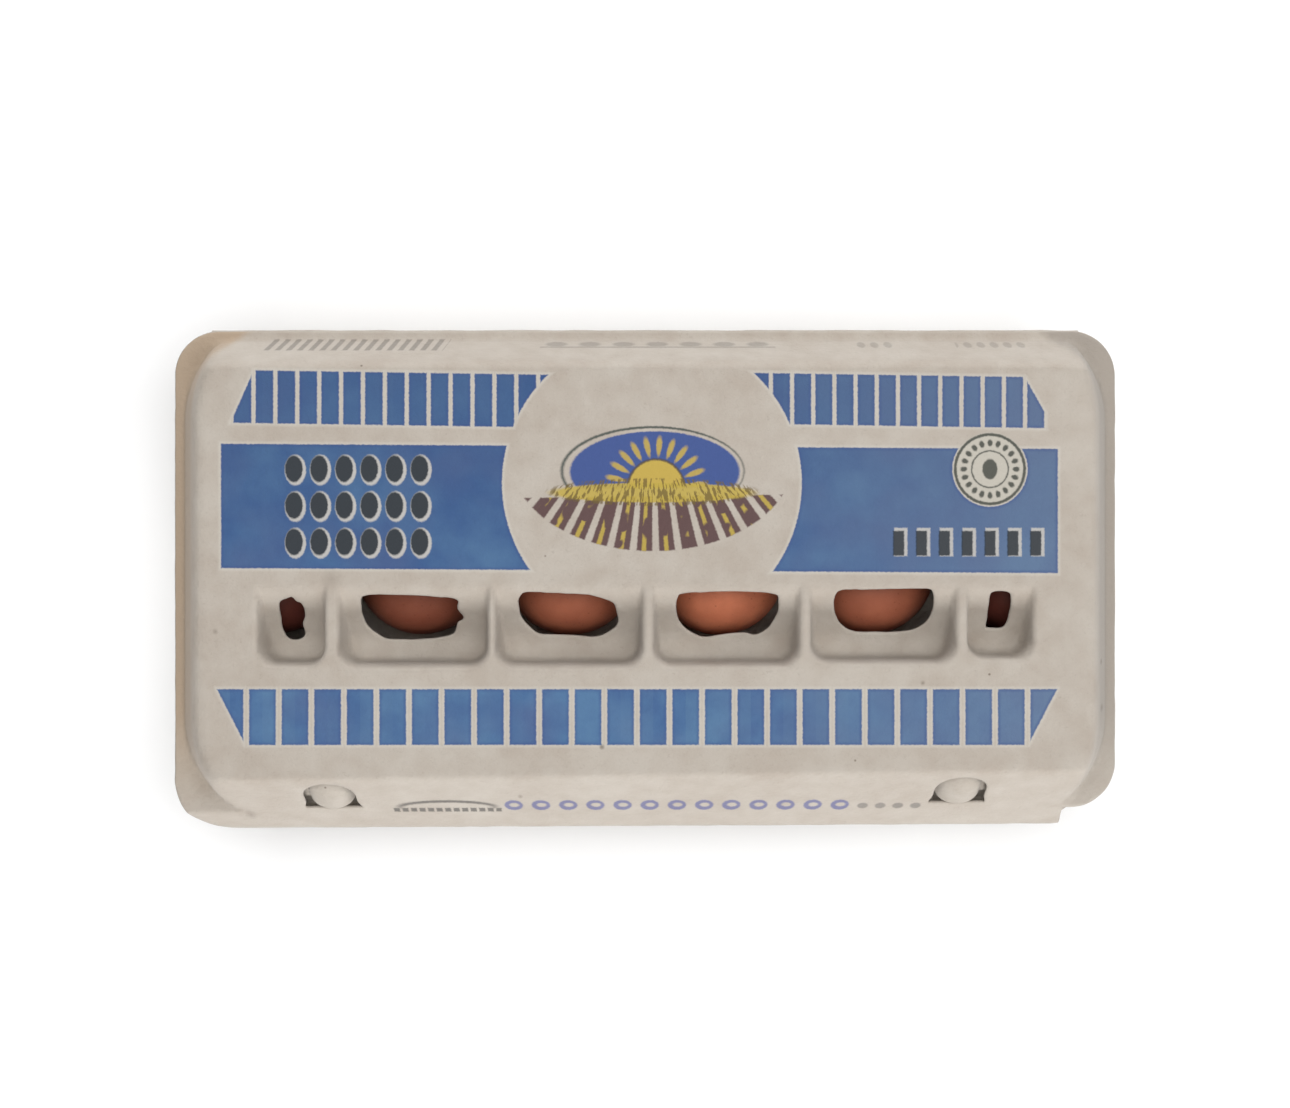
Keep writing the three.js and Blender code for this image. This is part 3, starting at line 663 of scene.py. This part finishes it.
hill = both(
    oval_shape(plan, (2.3, 33.0), (43.0, 27.5)),
    side_of_line(plan, (60, 23.0), (-60, 21.5)),
    side_of_line(plan, (-39.0, 40), (-36.0, 0)),
    side_of_line(plan, (41.5, 0), (44.0, 40)),
)
furrow_turn = turned(plan, (2.3, 62.0), 50.0)
furrow = repeated(furrow_turn, (0, 0), (6.2, FAR))
brown_furrows = both(box_shape(furrow, (-2.3, -FAR), (2.0, FAR)), hill)
GLINT_SIZE = 0.006
glints = noise(tree, place, GLINT_SIZE, 1.0)
glints = remapped(tree, glints, 0.42, 0.6, -0.8, 0.8)
yellow_lines = both(box_shape(furrow, (-0.9, -FAR), (0.3, FAR)), hill, glints)
stubble = oval_shape(plan, (2.3, 23.4), (31.0, 3.0))
STALK_SIZE = 5 / 3  # millimetres, before the stretch that makes stalks of the noise's hills
STALK_STRETCH = (1.7, 0.4, 1.0)
stalk_place = vector_maths(tree, "MULTIPLY", furrow_turn, STALK_STRETCH)
stalk_noise = noise(tree, stalk_place, STALK_SIZE, 2.0)
stalks = both(
    oval_shape(plan, (2.3, 23.6), (32.0, 4.2)),
    remapped(tree, stalk_noise, 0.42, 0.62, -0.9, 0.9),
)

# along the front wall: a dark flat sign, a row of blue ovals, and small dark marks
WALL_EGG_PITCH = (8.6, FAR)
wall_egg = repeated(plan, (-41.5, -74.8), WALL_EGG_PITCH)
wall_egg_hole = repeated(plan, (-41.5, -74.7), WALL_EGG_PITCH)
wall_eggs = both(
    oval_shape(wall_egg, (0, 0), (2.9, 2.0)),
    box_shape(plan, (-46.0, -78), (66.0, -72)),
    outside(oval_shape(wall_egg_hole, (0.2, 0), (1.5, 0.8))),
)
wall_sign = either(
    both(
        oval_shape(plan, (-62.5, -75.2), (15.5, 2.5)),
        outside(oval_shape(plan, (-62.5, -75.9), (14.6, 2.2))),
    ),
    both(
        box_shape(repeated(plan, (-62.5, -76.6), (2.7, FAR)), (-0.95, -0.75), (0.95, 0.75)),
        box_shape(plan, (-80, -78), (-45.5, -74)),
    ),
)
wall_marks = both(
    oval_shape(repeated(plan, (69.0, -75.2), (5.6, FAR)), (0, 0), (1.7, 1.1)),
    box_shape(plan, (66.4, -77), (88.5, -73)),
)

# along the back wall: a row of leaning bars, a thin line with lozenges on it, and small marks
leaning_plan = vector_maths(tree, "ADD", plan, oblique(-0.34, 0))
back_bars = both(
    box_shape(repeated(leaning_plan, (-138.2, 70.6), (3.5, FAR)), (-0.95, -2.3), (0.75, 2.3)),
    box_shape(leaning_plan, (-143, 67), (-86.5, 74)),
)
back_line = either(
    box_shape(plan, (-33, 69.4), (41, 69.95)),
    both(
        oval_shape(repeated(plan, (-28, 70.9), (10.6, FAR)), (0, 0), (3.4, 1.0)),
        box_shape(plan, (-33, 69), (41, 73)),
    ),
)
back_marks = both(
    oval_shape(repeated(plan, (68.2, 70.6), (4.2, FAR)), (0, 0), (1.3, 1.2)),
    either(box_shape(plan, (66, 68), (78, 73)), box_shape(plan, (98, 68), (120, 73))),
)

# dirt: a smudge by the left corner, a faint stain, three small spots
spots = [
    ((-13.2, -54.5), 0.75, 0.75),
    ((85.1, -34.9), 0.6, 0.6),
    ((-131.7, -19.2), 0.8, 0.45),
    ((-125.6, -78.4), 1.9, 0.35),
    ((-95.9, -2.9), 3.6, 0.22),
    ((-39.0, -71.3), 0.7, 0.5),
    ((142.5, -29.0), 0.9, 0.6),
    ((143.0, -43.5), 1.3, 0.55),
]

INK_CLOUD_SIZE = 0.009
INK_WASH_SIZE = 0.035
VIOLET_SIZE = 0.022
ink_cloud = noise(tree, place, INK_CLOUD_SIZE, 4.0)
ink_wash = noise(tree, place, INK_WASH_SIZE, 2.0)
ink_both = maths(tree, "ADD", ink_cloud, ink_wash)
ink_share = remapped(tree, ink_both, 0.72, 1.28)
violet_share = noise(tree, place, VIOLET_SIZE, 2.0)
violet_share = remapped(tree, violet_share, 0.45, 0.7, end=0.55)
blue_ink = mix(tree, ink_share, linear("#395885"), linear("#4e7094"))
blue_ink = mix(tree, violet_share, blue_ink, linear("#4a5880"))
# every bar took up a little more or less ink
sides = add(tree, "SeparateXYZ", {0: plan})
bar_number = maths(tree, "MULTIPLY_ADD", sides.outputs[0], 1 / LOWER_PITCH, 0.25)
bar_number = maths(tree, "ROUND", bar_number)
bar_tone = add(tree, "TexWhiteNoise", {"W": bar_number}, noise_dimensions="1D")
bar_share = remapped(tree, bar_tone, 0, 1, end=0.3)
bar_share = maths(tree, "MULTIPLY", bar_share, outside(inked(band), -1.0))
blue_ink = mix(tree, bar_share, blue_ink, linear("#5b7a95"))
# the plate pressed harder at the back, where the ink is darker, and the roller ran greyer to the right
darker_share = remapped(tree, sides.outputs[1], -40, 55, end=0.55)
blue_ink = mix(tree, darker_share, blue_ink, linear("#304972"))
greyer_share = remapped(tree, sides.outputs[0], 20, 130, end=0.55)
blue_ink = mix(tree, greyer_share, blue_ink, linear("#66748a"))
squeezed_share = remapped(tree, blue, 0.2, 1.1, 0.45, 0.0)
blue_ink = mix(tree, squeezed_share, blue_ink, linear("#35467a"))

PALE = "#bfbab1"
DARK = "#252c33"
# painted shade: the leaning ends and round corners turn browner and darker, greyer on the right end
painted_end_shade_share = add(tree, "Attribute", {}, attribute_name="ends").outputs["Fac"]
right_share = remapped(tree, sides.outputs[0], -10, 10)
painted_end_shade_colour = mix(tree, right_share, linear("#a99783"), linear("#968e85"))
paper = mix(tree, painted_end_shade_share, paper, painted_end_shade_colour)
halo = remapped(tree, blue, -1.1, -0.1, end=0.7)
colour = mix(tree, halo, paper, linear(PALE))
colour = mix(tree, inked(blue), colour, blue_ink)
layers = [
    (pale_eggs, PALE, 0.8),
    (dark_eggs, DARK, 0.97),
    (pale_bars, PALE, 0.75),
    (dark_bars, DARK, 0.94),
    (seal_disc, "#b4afa4", 1.0),
    (seal_lines, "#3f423c", 0.92),
    (sky, "#344c86", 0.96),
    (sky_line, "#3a4440", 0.9),
    (sun_rays, "#b29a48", 0.88),
    (sun_disc, "#b89e45", 0.95),
    (sun_line, "#4a4038", 0.8),
    (brown_furrows, "#52393a", 0.94),
    (yellow_lines, "#b09a48", 0.88),
    (stubble, "#b09a44", 0.92),
    (stalks, "#66552f", 0.8),
    (wall_eggs, "#474f86", 0.75),
    (wall_sign, "#4b4945", 0.8),
    (wall_marks, "#5a5856", 0.6),
    (back_bars, "#5f5b55", 0.55),
    (back_line, "#69655e", 0.45),
    (back_marks, "#69655e", 0.35),
]
for depth, ink, strength in layers:
    share = maths(tree, "MULTIPLY", inked(depth), strength)
    colour = mix(tree, share, colour, linear(ink))
for middle, radius, strength in spots:
    depth = oval_shape(plan, middle, (radius, radius))
    share = remapped(tree, depth, -0.3, radius, end=strength)
    colour = mix(tree, share, colour, linear("#5a5144"))
pulp_surface(tree, place, colour, 0.0006)

PRESSED_WIDTH = 2.2
PRESSED_SHARE = 0.5
WINDOW_SPOTS = (0, 4, 8)  # from a window's side inwards
WINDOW_SIDES = [(outline[:, 0].min(), outline[:, 0].max()) for outline in WINDOW_OUTLINES]
x_lines = graded_lines(
    -RIM_HALF_X - 1,
    RIM_HALF_X + 1,
    2.4,
    0.8,
    [middle + side * (half - 1) for middle, half, front in POCKETS for side in (-1, 1)]
    + [low + inwards for low, high in WINDOW_SIDES for inwards in WINDOW_SPOTS]
    + [high - inwards for low, high in WINDOW_SIDES for inwards in WINDOW_SPOTS]
    + [side * x for x in (KNOB_X - 8, KNOB_X + 8, 140, 147, 150) for side in (-1, 1)],
)
y_lines = graded_lines(
    SKIRT_FOOT_Y - 2,
    RIM_HALF_Y + 1,
    2.4,
    0.72,
    [-5.5, -8, -11, -15, -18, -21.5, -28.5, -30.5, -63.5, -67, -71, -75, -77, -83, 63, 66, 73.5, 76],
)
x, y = np.meshgrid(x_lines, y_lines)
kept, on_edge = covered_cells(x, y, lid_cover)
x, y = snap_to_edge(x, y, on_edge, lid_cover)
upper = np.stack([x, y, lid_height(x, y)], axis=-1).reshape(-1, 3)
# on the leaning front wall the lower face is set back at right angles to it
setback = np.clip((FRONT_EDGE_Y - y) / 3, 0, 1) * PULP * 0.86
lower_y = y + setback
lower = np.stack([x, lower_y, underside(lid_height, x, lower_y)], axis=-1).reshape(-1, 3)
# punched and trimmed edges are pressed thinner
pressed = np.clip(lid_cover(x, y) / PRESSED_WIDTH, 0, 1).reshape(-1, 1)
lower = upper + (lower - upper) * (PRESSED_SHARE + (1 - PRESSED_SHARE) * pressed)
lid = pulp_shell("lid_sheet", upper, lower, grid_faces(kept), [printed_pulp, bare_pulp])
# painted shade: darker the further down the leaning ends and round corners, less on the right, none in front
flat_y = np.array([vertex.co.y for vertex in lid.data.vertices]) / MM - MIDDLE_Y
flat_x = np.array([vertex.co.x for vertex in lid.data.vertices]) / MM
down = np.clip((TOP - end_wall_z(flat_x, flat_y)) / 9, 0, 1) * np.where(flat_x < 0, 1, 0.8)
down *= np.clip((flat_y + 76) / 30, 0, 1)
ends = lid.data.attributes.new("ends", "FLOAT", "POINT")
ends.data.foreach_set("value", down.tolist())
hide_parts("lid")
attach(lid, "lid")

# Tray
# The lower sheet of the same pulp: three rows of six cups that hold the eggs by their sides, with low walls
# between them, a post wherever four eggs meet to carry the lid's pockets, and a flat rim under the lid's.

PITCH = 48
CELLS_HALF_X = 3 * PITCH
CELLS_HALF_Y = 1.5 * PITCH
RIM_HEIGHT = 44
CUP_RADII = [0, 9, 12.4, 15.9, 18.9, 20.9, 22.2, 23.5, 24.5, 60]
CUP_HEIGHTS = [1.8, 1.8, 7.5, 15, 20.8, 26.2, 33, RIM_HEIGHT, 52, 336]
CUP_SQUARENESS = 2.4
SADDLE_HEIGHT = 25
LEDGE_SLOPE = 3
LEDGE_FLAT = 0.6
POST_HEIGHT = POCKET_FLOOR - PULP - 0.3
POST_TIP_RADIUS = 3.5
POST_SLOPE = 3.8
POST_POINTEDNESS = 1.7

fine_radii = np.linspace(0, 60, 2401)
kernel = np.hanning(97)  # rounds the cup's profile over 2.4 mm
padded_heights = np.pad(np.interp(fine_radii, CUP_RADII, CUP_HEIGHTS), 48, mode="edge")
fine_heights = np.convolve(padded_heights, kernel / kernel.sum(), mode="valid")


def power_distance(x, y, power):
    return (np.abs(x) ** power + np.abs(y) ** power) ** (1 / power)


def tray_height(x, y):
    inside = np.minimum(CELLS_HALF_X - np.abs(x), CELLS_HALF_Y - np.abs(y))
    ledge = RIM_HEIGHT - LEDGE_SLOPE * np.maximum(inside - LEDGE_FLAT, 0)
    cap = smooth_max(ledge, SADDLE_HEIGHT, 2.5)
    post_x = np.clip(np.round(x / PITCH), -2, 2) * PITCH
    post_y = np.where(y < 0, -PITCH / 2, PITCH / 2)
    away = power_distance(x - post_x, y - post_y, POST_POINTEDNESS)
    post = POST_HEIGHT - POST_SLOPE * smooth_max(away - POST_TIP_RADIUS, 0, 1.5)
    cap = smooth_max(cap, post, 4)
    cell_x = (np.clip(np.floor(x / PITCH), -3, 2) + 0.5) * PITCH
    cell_y = np.clip(np.round(y / PITCH), -1, 1) * PITCH
    cup = np.interp(power_distance(x - cell_x, y - cell_y, CUP_SQUARENESS), fine_radii, fine_heights)
    return smooth_min(cup, cap, 2.5) + 0.1 * ripple(x, y, 12, 11) * (inside > 2)


RAYS = 64
RAY_CROWDING = 0.7  # the rays stand closer together towards a cell's corners, where the posts are
INNER_RINGS = (1, 5, 8, 9.6, 11, 12.6, 14.2, 15.8, 17.3)
OUTER_RING = 18.6
SHARES = np.linspace(0, 1, 12)
RIM_SHARES = (0.06, 0.13, 0.22, 0.34, 0.5, 0.75, 1)


def cell_rings(cell_x, cell_y):
    """Upper and lower points of one cup, ring by ring from its floor out to the cell's square edge."""
    angle = np.arange(RAYS) * math.tau / RAYS
    angle = angle + RAY_CROWDING * np.sin(4 * angle) / 4
    ray = np.stack([np.cos(angle), np.sin(angle)])
    edge = PITCH / 2 / np.abs(ray).max(axis=0)
    squareness = power_distance(*ray, CUP_SQUARENESS)
    radii = [radius / squareness for radius in INNER_RINGS]
    radii += [OUTER_RING / squareness * (1 - share) + edge * share for share in SHARES]
    radii = np.array(radii)
    x = cell_x + radii * ray[0]
    y = cell_y + radii * ray[1]
    z = tray_height(x, y)
    slope = np.maximum(np.gradient(z, axis=0) / np.gradient(radii, axis=0), 0)
    lower_radii = radii + PULP * slope / np.hypot(1, slope)
    lower_radii[-1] = radii[-1]
    for ring in range(len(radii) - 2, -1, -1):
        lower_radii[ring] = np.minimum(lower_radii[ring], lower_radii[ring + 1] - 0.12)
    lower_x = cell_x + lower_radii * ray[0]
    lower_y = cell_y + lower_radii * ray[1]
    lower_z = np.maximum(underside(tray_height, lower_x, lower_y), 0)
    return np.stack([x, y, z], axis=-1), np.stack([lower_x, lower_y, lower_z], axis=-1)


def rim_point(x, y):
    """Where a point on the cells' outer edge lands on the rim's edge."""
    x = x * (RIM_HALF_X - 0.2) / CELLS_HALF_X
    y = y * (RIM_HALF_Y - 0.1) / CELLS_HALF_Y
    corner_x = np.clip(x, -RIM_HALF_X + RIM_CORNER, RIM_HALF_X - RIM_CORNER)
    corner_y = np.clip(y, -RIM_HALF_Y + RIM_CORNER, RIM_HALF_Y - RIM_CORNER)
    away = np.maximum(np.hypot(x - corner_x, y - corner_y), 1e-6)
    share = np.minimum(RIM_CORNER / away, 1)
    x = corner_x + (x - corner_x) * share
    y = corner_y + (y - corner_y) * share
    # in front the rim steps back behind the lid's skirt
    behind_skirt = front_wall_y(x, RIM_HEIGHT) + LEVEL_PULP + 0.5
    y = np.where(x < SKIRT_RIGHT + 1, np.maximum(y, behind_skirt), y)
    return x, np.minimum(y, RIM_HALF_Y - CREASE_ROOM)


tray_upper = []
tray_lower = []
tray_quads = []
tray_floors = []


def add_rings(upper, lower, closed):
    """Faces between neighbouring rings of points."""
    start = sum(len(points) for points in tray_upper)
    rings, count = upper.shape[:2]
    tray_upper.append(upper.reshape(-1, 3))
    tray_lower.append(lower.reshape(-1, 3))
    index = start + np.arange(rings * count).reshape(rings, count)
    following = np.roll(index, -1, axis=1) if closed else index[:, 1:]
    index = index if closed else index[:, :-1]
    quads = np.stack([index[:-1], index[1:], following[1:], following[:-1]], axis=-1)
    tray_quads.append(quads.reshape(-1, 4))
    return index[0]


for cell_y in (-PITCH, 0, PITCH):
    for cell_x in (np.arange(6) - 2.5) * PITCH:
        cell_upper, cell_lower = cell_rings(cell_x, cell_y)
        tray_floors.append(add_rings(cell_upper, cell_lower, True))
        edge_upper = cell_upper[-1]
        edge_lower = cell_lower[-1]
        # the rim outside the cell, where the cell's edge is also the edge of all cells
        for axis, half in ((0, CELLS_HALF_X), (1, CELLS_HALF_Y)):
            chosen = np.flatnonzero(np.abs(edge_upper[:, axis]) > half - 0.01)
            if len(chosen) < 3:
                continue
            breaks = np.flatnonzero(np.diff(chosen) > 1)
            if len(breaks):
                chosen = np.roll(chosen, -breaks[0] - 1)
            edge_x = edge_upper[chosen, 0]
            edge_y = edge_upper[chosen, 1]
            far_x, far_y = rim_point(edge_x, edge_y)
            strip = [edge_upper[chosen]]
            strip_below = [edge_lower[chosen]]
            for share in RIM_SHARES:
                x = edge_x + (far_x - edge_x) * share
                y = edge_y + (far_y - edge_y) * share
                strip.append(np.stack([x, y, tray_height(x, y)], axis=-1))
                strip_below.append(np.stack([x, y, underside(tray_height, x, y)], axis=-1))
            add_rings(np.array(strip), np.array(strip_below), False)

tray_upper = np.concatenate(tray_upper)
tray_lower = np.concatenate(tray_lower)
keys = np.round(tray_upper, 2)
first, welded = np.unique(keys, axis=0, return_index=True, return_inverse=True)[1:]
welded = welded.reshape(-1)
faces = welded[np.concatenate(tray_quads)].tolist() + [welded[ring].tolist() for ring in tray_floors]
tray = pulp_shell("tray_sheet", tray_upper[first], tray_lower[first], faces, [bare_pulp])
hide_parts("tray")
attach(tray, "base")

# Locking flap
# Part of the tray, of the same pulp: a strip that stands up from its front rim behind the lid's front wall.
# Its two hollow knobs stand in the wall's holes and hold the lid shut.

FLAP_HALF = 112
FLAP_FOOT = 43.1
FLAP_TOP = 62.4
FLAP_CORNER = 8
FLAP_GAP = 2.4
KNOB_HALF = 7.1
KNOB_FOOT = 49.4
KNOB_TOP = 63.5
KNOB_LEAN = 0.5
KNOB_OVERHANG = 0.3
HINGE_Z = 44.15


def knob_depth(x, z):
    """How far inside a knob's arched outline a point of the flap lies, the open foot left out."""
    across = np.abs(np.abs(x) - KNOB_X)
    centre = KNOB_TOP - KNOB_HALF
    return np.where(z < centre, KNOB_HALF - across, KNOB_HALF - np.hypot(across, z - centre))


def flap_face(x, z):
    """How far forward the flap's front face stands. A knob is half a dome, its nose over its hole's foot."""
    plane = front_wall_y(x, z) + LEVEL_PULP + FLAP_GAP
    nose = front_wall_y(np.sign(x) * KNOB_X, HOLE_FOOT) - KNOB_OVERHANG + KNOB_LEAN * (z - KNOB_FOOT)
    inside = np.clip(knob_depth(x, z) / KNOB_HALF, 0, 1)
    rise = np.sqrt(1 - (1 - inside) ** 2) * np.clip((z - KNOB_FOOT) / 0.5, 0, 1)
    return -(plane + (nose - plane) * rise)


def flap_cover(x, z):
    middle = (FLAP_FOOT - 20 + FLAP_TOP) / 2
    half = (FLAP_TOP - FLAP_FOOT + 20) / 2
    sheet = -rounded_box(x, z - middle, FLAP_HALF, half, FLAP_CORNER)
    return np.minimum(np.maximum(sheet, knob_depth(x, z) + 0.8), z - FLAP_FOOT)


x_lines = graded_lines(
    -FLAP_HALF - 1,
    FLAP_HALF + 1,
    3.0,
    0.6,
    [side * (KNOB_X + part) for side in (-1, 1) for part in (-6, 0, 6)],
)
z_lines = graded_lines(FLAP_FOOT - 0.6, KNOB_TOP + 2, 1.6, 0.6, [50, 58, 61, 64])
z_lines = np.sort(np.append(z_lines, [KNOB_FOOT - 0.05, KNOB_FOOT + 0.25, KNOB_FOOT + 0.55]))
x, z = np.meshgrid(x_lines, z_lines)
kept, on_edge = covered_cells(x, z, flap_cover)
x, z = snap_to_edge(x, z, on_edge, flap_cover)
upper = np.stack([x, -flap_face(x, z), z], axis=-1).reshape(-1, 3)
lower = np.stack([x, -underside(flap_face, x, z), z], axis=-1).reshape(-1, 3)
flap = pulp_shell("tray_locking_flap", upper, lower, grid_faces(kept), [bare_pulp])
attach(flap, "base")

# Crease
# The thin band of pulp along the back rims, which joins tray and lid, built as it lies with the lid shut.

CREASE_HALF = 138
CREASE_THICKNESS = 0.8
x_lines = np.linspace(CREASE_HALF, -CREASE_HALF, 140)
turns = np.linspace(-1, 1, 9)
x, turn = np.meshgrid(x_lines, turns)
crease_cells = np.ones((len(turns) - 1, len(x_lines) - 1), bool)
bulge = 0.55 + 0.12 * ripple(x, turn, 7, 13)
crease_y = RIM_HALF_Y - 0.35 + bulge * (1 - turn**2)
crease_z = HINGE_Z + turn * 1.15
upper = np.stack([x, crease_y, crease_z], axis=-1).reshape(-1, 3)
lower = np.stack([x, crease_y - CREASE_THICKNESS, crease_z], axis=-1).reshape(-1, 3)
crease = pulp_shell("back_crease", upper, lower, grid_faces(crease_cells), [bare_pulp])
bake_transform(crease)

# Eggs
# Large brown hens' eggs, blunt end up. Each has a tone of its own between red-brown and orange-brown, faint
# darker clouds and speckles from the laying, and a satin shell with fine pores. The middle row's two end
# eggs get the darkest tone as painted shade.

CLOUD_OF_SHELL = 0.006
SPECKLE_SPACING = 0.0024
SPECKLE_SIZE = 0.0004
PORE_SIZE = 0.0007  # real pores are finer, drawn as coarse as they show
EGG_BLUNTNESS = 0.17
FACET_ALLOWANCE = 1.013  # the solids' flat facets lie a little inside the round egg
EGG_STEPS = 40
EGG_RAYS = 56

egg_shell, tree = new_material("brown_egg_shell")
place = add(tree, "TexCoord", {}).outputs["Object"]
tone = add(tree, "Attribute", {}, attribute_name="tone").outputs["Fac"]
clouds = noise(tree, place, CLOUD_OF_SHELL, 4.0)
cloud_share = remapped(tree, clouds, 0.3, 0.7, end=0.22)
colour = mix(tree, tone, linear("#60322a"), linear("#cf7c5b"))
colour = mix(tree, cloud_share, colour, linear("#74392a"))
cells = add(tree, "TexVoronoi", {"Vector": place, "Scale": 1 / SPECKLE_SPACING})
edge = SPECKLE_SIZE / SPECKLE_SPACING
dots = remapped(tree, cells, 0.3 * edge, edge, 0.4, 0.0)
colour = mix(tree, dots, colour, linear("#5f2f22"))
pores = noise(tree, place, PORE_SIZE, 3.0)
bump = add(tree, "Bump", {"Height": pores, "Strength": 0.35, "Distance": 0.00025})
shader = add(
    tree,
    "BsdfPrincipled",
    {
        "Base Color": colour,
        "Roughness": 0.48,
        "IOR": 1.5,
        "Specular IOR Level": 0.35,
        "Subsurface Weight": 0.08,
        "Subsurface Radius": (0.004, 0.002, 0.001),
        "Normal": bump,
    },
)
add(tree, "OutputMaterial", {"Surface": shader})

# tones of the middle row's eggs as they show in the windows, from left to right; the darkest tone of the
# two end eggs is painted shade, the others are the eggs' own tones
MIDDLE_ROW_TONES_AND_SHADE = (0.0, 0.3, 0.57, 0.97, 0.55, 0.0)


def egg_shape(u):
    return np.sqrt(np.maximum(0, 1 - u**2)) * np.exp(EGG_BLUNTNESS * u)


def make_egg(node, tone_value):
    points = np.array([vertex.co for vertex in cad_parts[node].data.vertices])
    top = points[points[:, 2].argmax()]
    bottom = points[points[:, 2].argmin()]
    length = np.linalg.norm(top - bottom)
    axis = (top - bottom) / length
    along = (points - bottom) @ axis
    girth = np.linalg.norm(points - bottom - along[:, None] * axis, axis=1).max() * FACET_ALLOWANCE
    side = np.cross(axis, (0, 1, 0))
    side /= np.linalg.norm(side)
    front = np.cross(axis, side)
    u = -np.cos(np.linspace(0, math.pi, EGG_STEPS + 1))[1:-1, None]
    angle = (np.arange(EGG_RAYS) * math.tau / EGG_RAYS)[None, :]
    start = chance.uniform(0, 20)
    uneven = 1 + 0.004 * ripple(np.cos(angle) * 3 + 7, u * 2 + np.sin(angle) * 3, 1.5, start)
    radius = girth * uneven * egg_shape(u) / egg_shape(np.linspace(0, 0.4, 41)).max()
    ring = radius[..., None] * (np.cos(angle)[..., None] * side + np.sin(angle)[..., None] * front)
    centre = bottom + (u * 0.5 + 0.5)[..., None] * length * axis
    vertices = np.concatenate([(centre + ring).reshape(-1, 3), [bottom, top]])
    index = np.arange((EGG_STEPS - 1) * EGG_RAYS).reshape(EGG_STEPS - 1, EGG_RAYS)
    following = np.roll(index, -1, axis=1)
    quads = np.stack([index[:-1], index[1:], following[1:], following[:-1]], axis=-1).reshape(-1, 4)
    foot = len(vertices) - 2
    tip = len(vertices) - 1
    faces = quads.tolist()
    faces += [[foot, int(a), int(b)] for a, b in zip(index[0], following[0])]
    faces += [[tip, int(b), int(a)] for a, b in zip(index[-1], following[-1])]
    mesh = bpy.data.meshes.new(node + "_shell")
    mesh.from_pydata(vertices.tolist(), [], faces)
    mesh.polygons.foreach_set("use_smooth", [True] * len(faces))
    mesh.materials.append(egg_shell)
    tones = mesh.attributes.new("tone", "FLOAT", "POINT")
    tones.data.foreach_set("value", [tone_value] * len(vertices))
    egg = bpy.data.objects.new(node + "_shell", mesh)
    bpy.context.scene.collection.objects.link(egg)
    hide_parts(node)
    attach(egg, "base")


for row in (1, 2, 3):
    for column in range(1, 7):
        tone_value = MIDDLE_ROW_TONES_AND_SHADE[column - 1] if row == 2 else chance.uniform(0.35, 0.9)
        make_egg(f"egg_row{row}_column{column}", tone_value)

# Floor, light and camera
# A plain white floor under soft studio light from a wide sheet overhead and smaller ones at the front, the
# back and the right. The camera looks straight down.

floor_mesh = bpy.data.meshes.new("floor")
FLOOR_HALF = 3.0
floor_sides = [(-1, -1), (1, -1), (1, 1), (-1, 1)]
floor_corners = [(side * FLOOR_HALF, end * FLOOR_HALF, 0) for side, end in floor_sides]
floor_mesh.from_pydata(floor_corners, [], [[0, 1, 2, 3]])
floor = bpy.data.objects.new("floor", floor_mesh)
bpy.context.scene.collection.objects.link(floor)
floor_paint, tree = new_material("matt_white_floor")
shader = add(tree, "BsdfPrincipled", {"Base Color": (0.93, 0.93, 0.93, 1), "Roughness": 0.9})
add(tree, "OutputMaterial", {"Surface": shader})
floor_mesh.materials.append(floor_paint)


def soft_light(name, place, width, height, power):
    """A rectangular sheet of light that faces the pack."""
    lamp = bpy.data.lights.new(name, "AREA")
    lamp.shape = "RECTANGLE"
    lamp.size = width
    lamp.size_y = height
    lamp.energy = power
    light = bpy.data.objects.new(name, lamp)
    light.location = place
    light.rotation_euler = light.location.to_track_quat("Z", "Y").to_euler()
    bpy.context.scene.collection.objects.link(light)


soft_light("overhead_sheet", (0.12, 0.15, 2.0), 2.6, 2.0, 44)
soft_light("front_sheet", (0.1, -2.0, 0.5), 1.0, 0.6, 32)
soft_light("back_sheet", (-0.1, 2.0, 0.5), 1.0, 0.6, 23)
soft_light("right_sheet", (2.0, 0.1, 1.2), 1.0, 0.8, 11)
world = bpy.data.worlds.new("studio")
world.use_nodes = True
world.node_tree.nodes["Background"].inputs["Color"].default_value = (1, 1, 1, 1)
world.node_tree.nodes["Background"].inputs["Strength"].default_value = 0.1
bpy.context.scene.world = world
bpy.context.scene.view_settings.view_transform = "Standard"

lens = bpy.data.cameras.new("camera")
lens.lens = 50.85
lens.sensor_width = 36
lens.clip_start = 0.02
camera = bpy.data.objects.new("camera", lens)
camera.location = (0, 0.00828, 0.626)
bpy.context.scene.collection.objects.link(camera)
bpy.context.scene.camera = camera
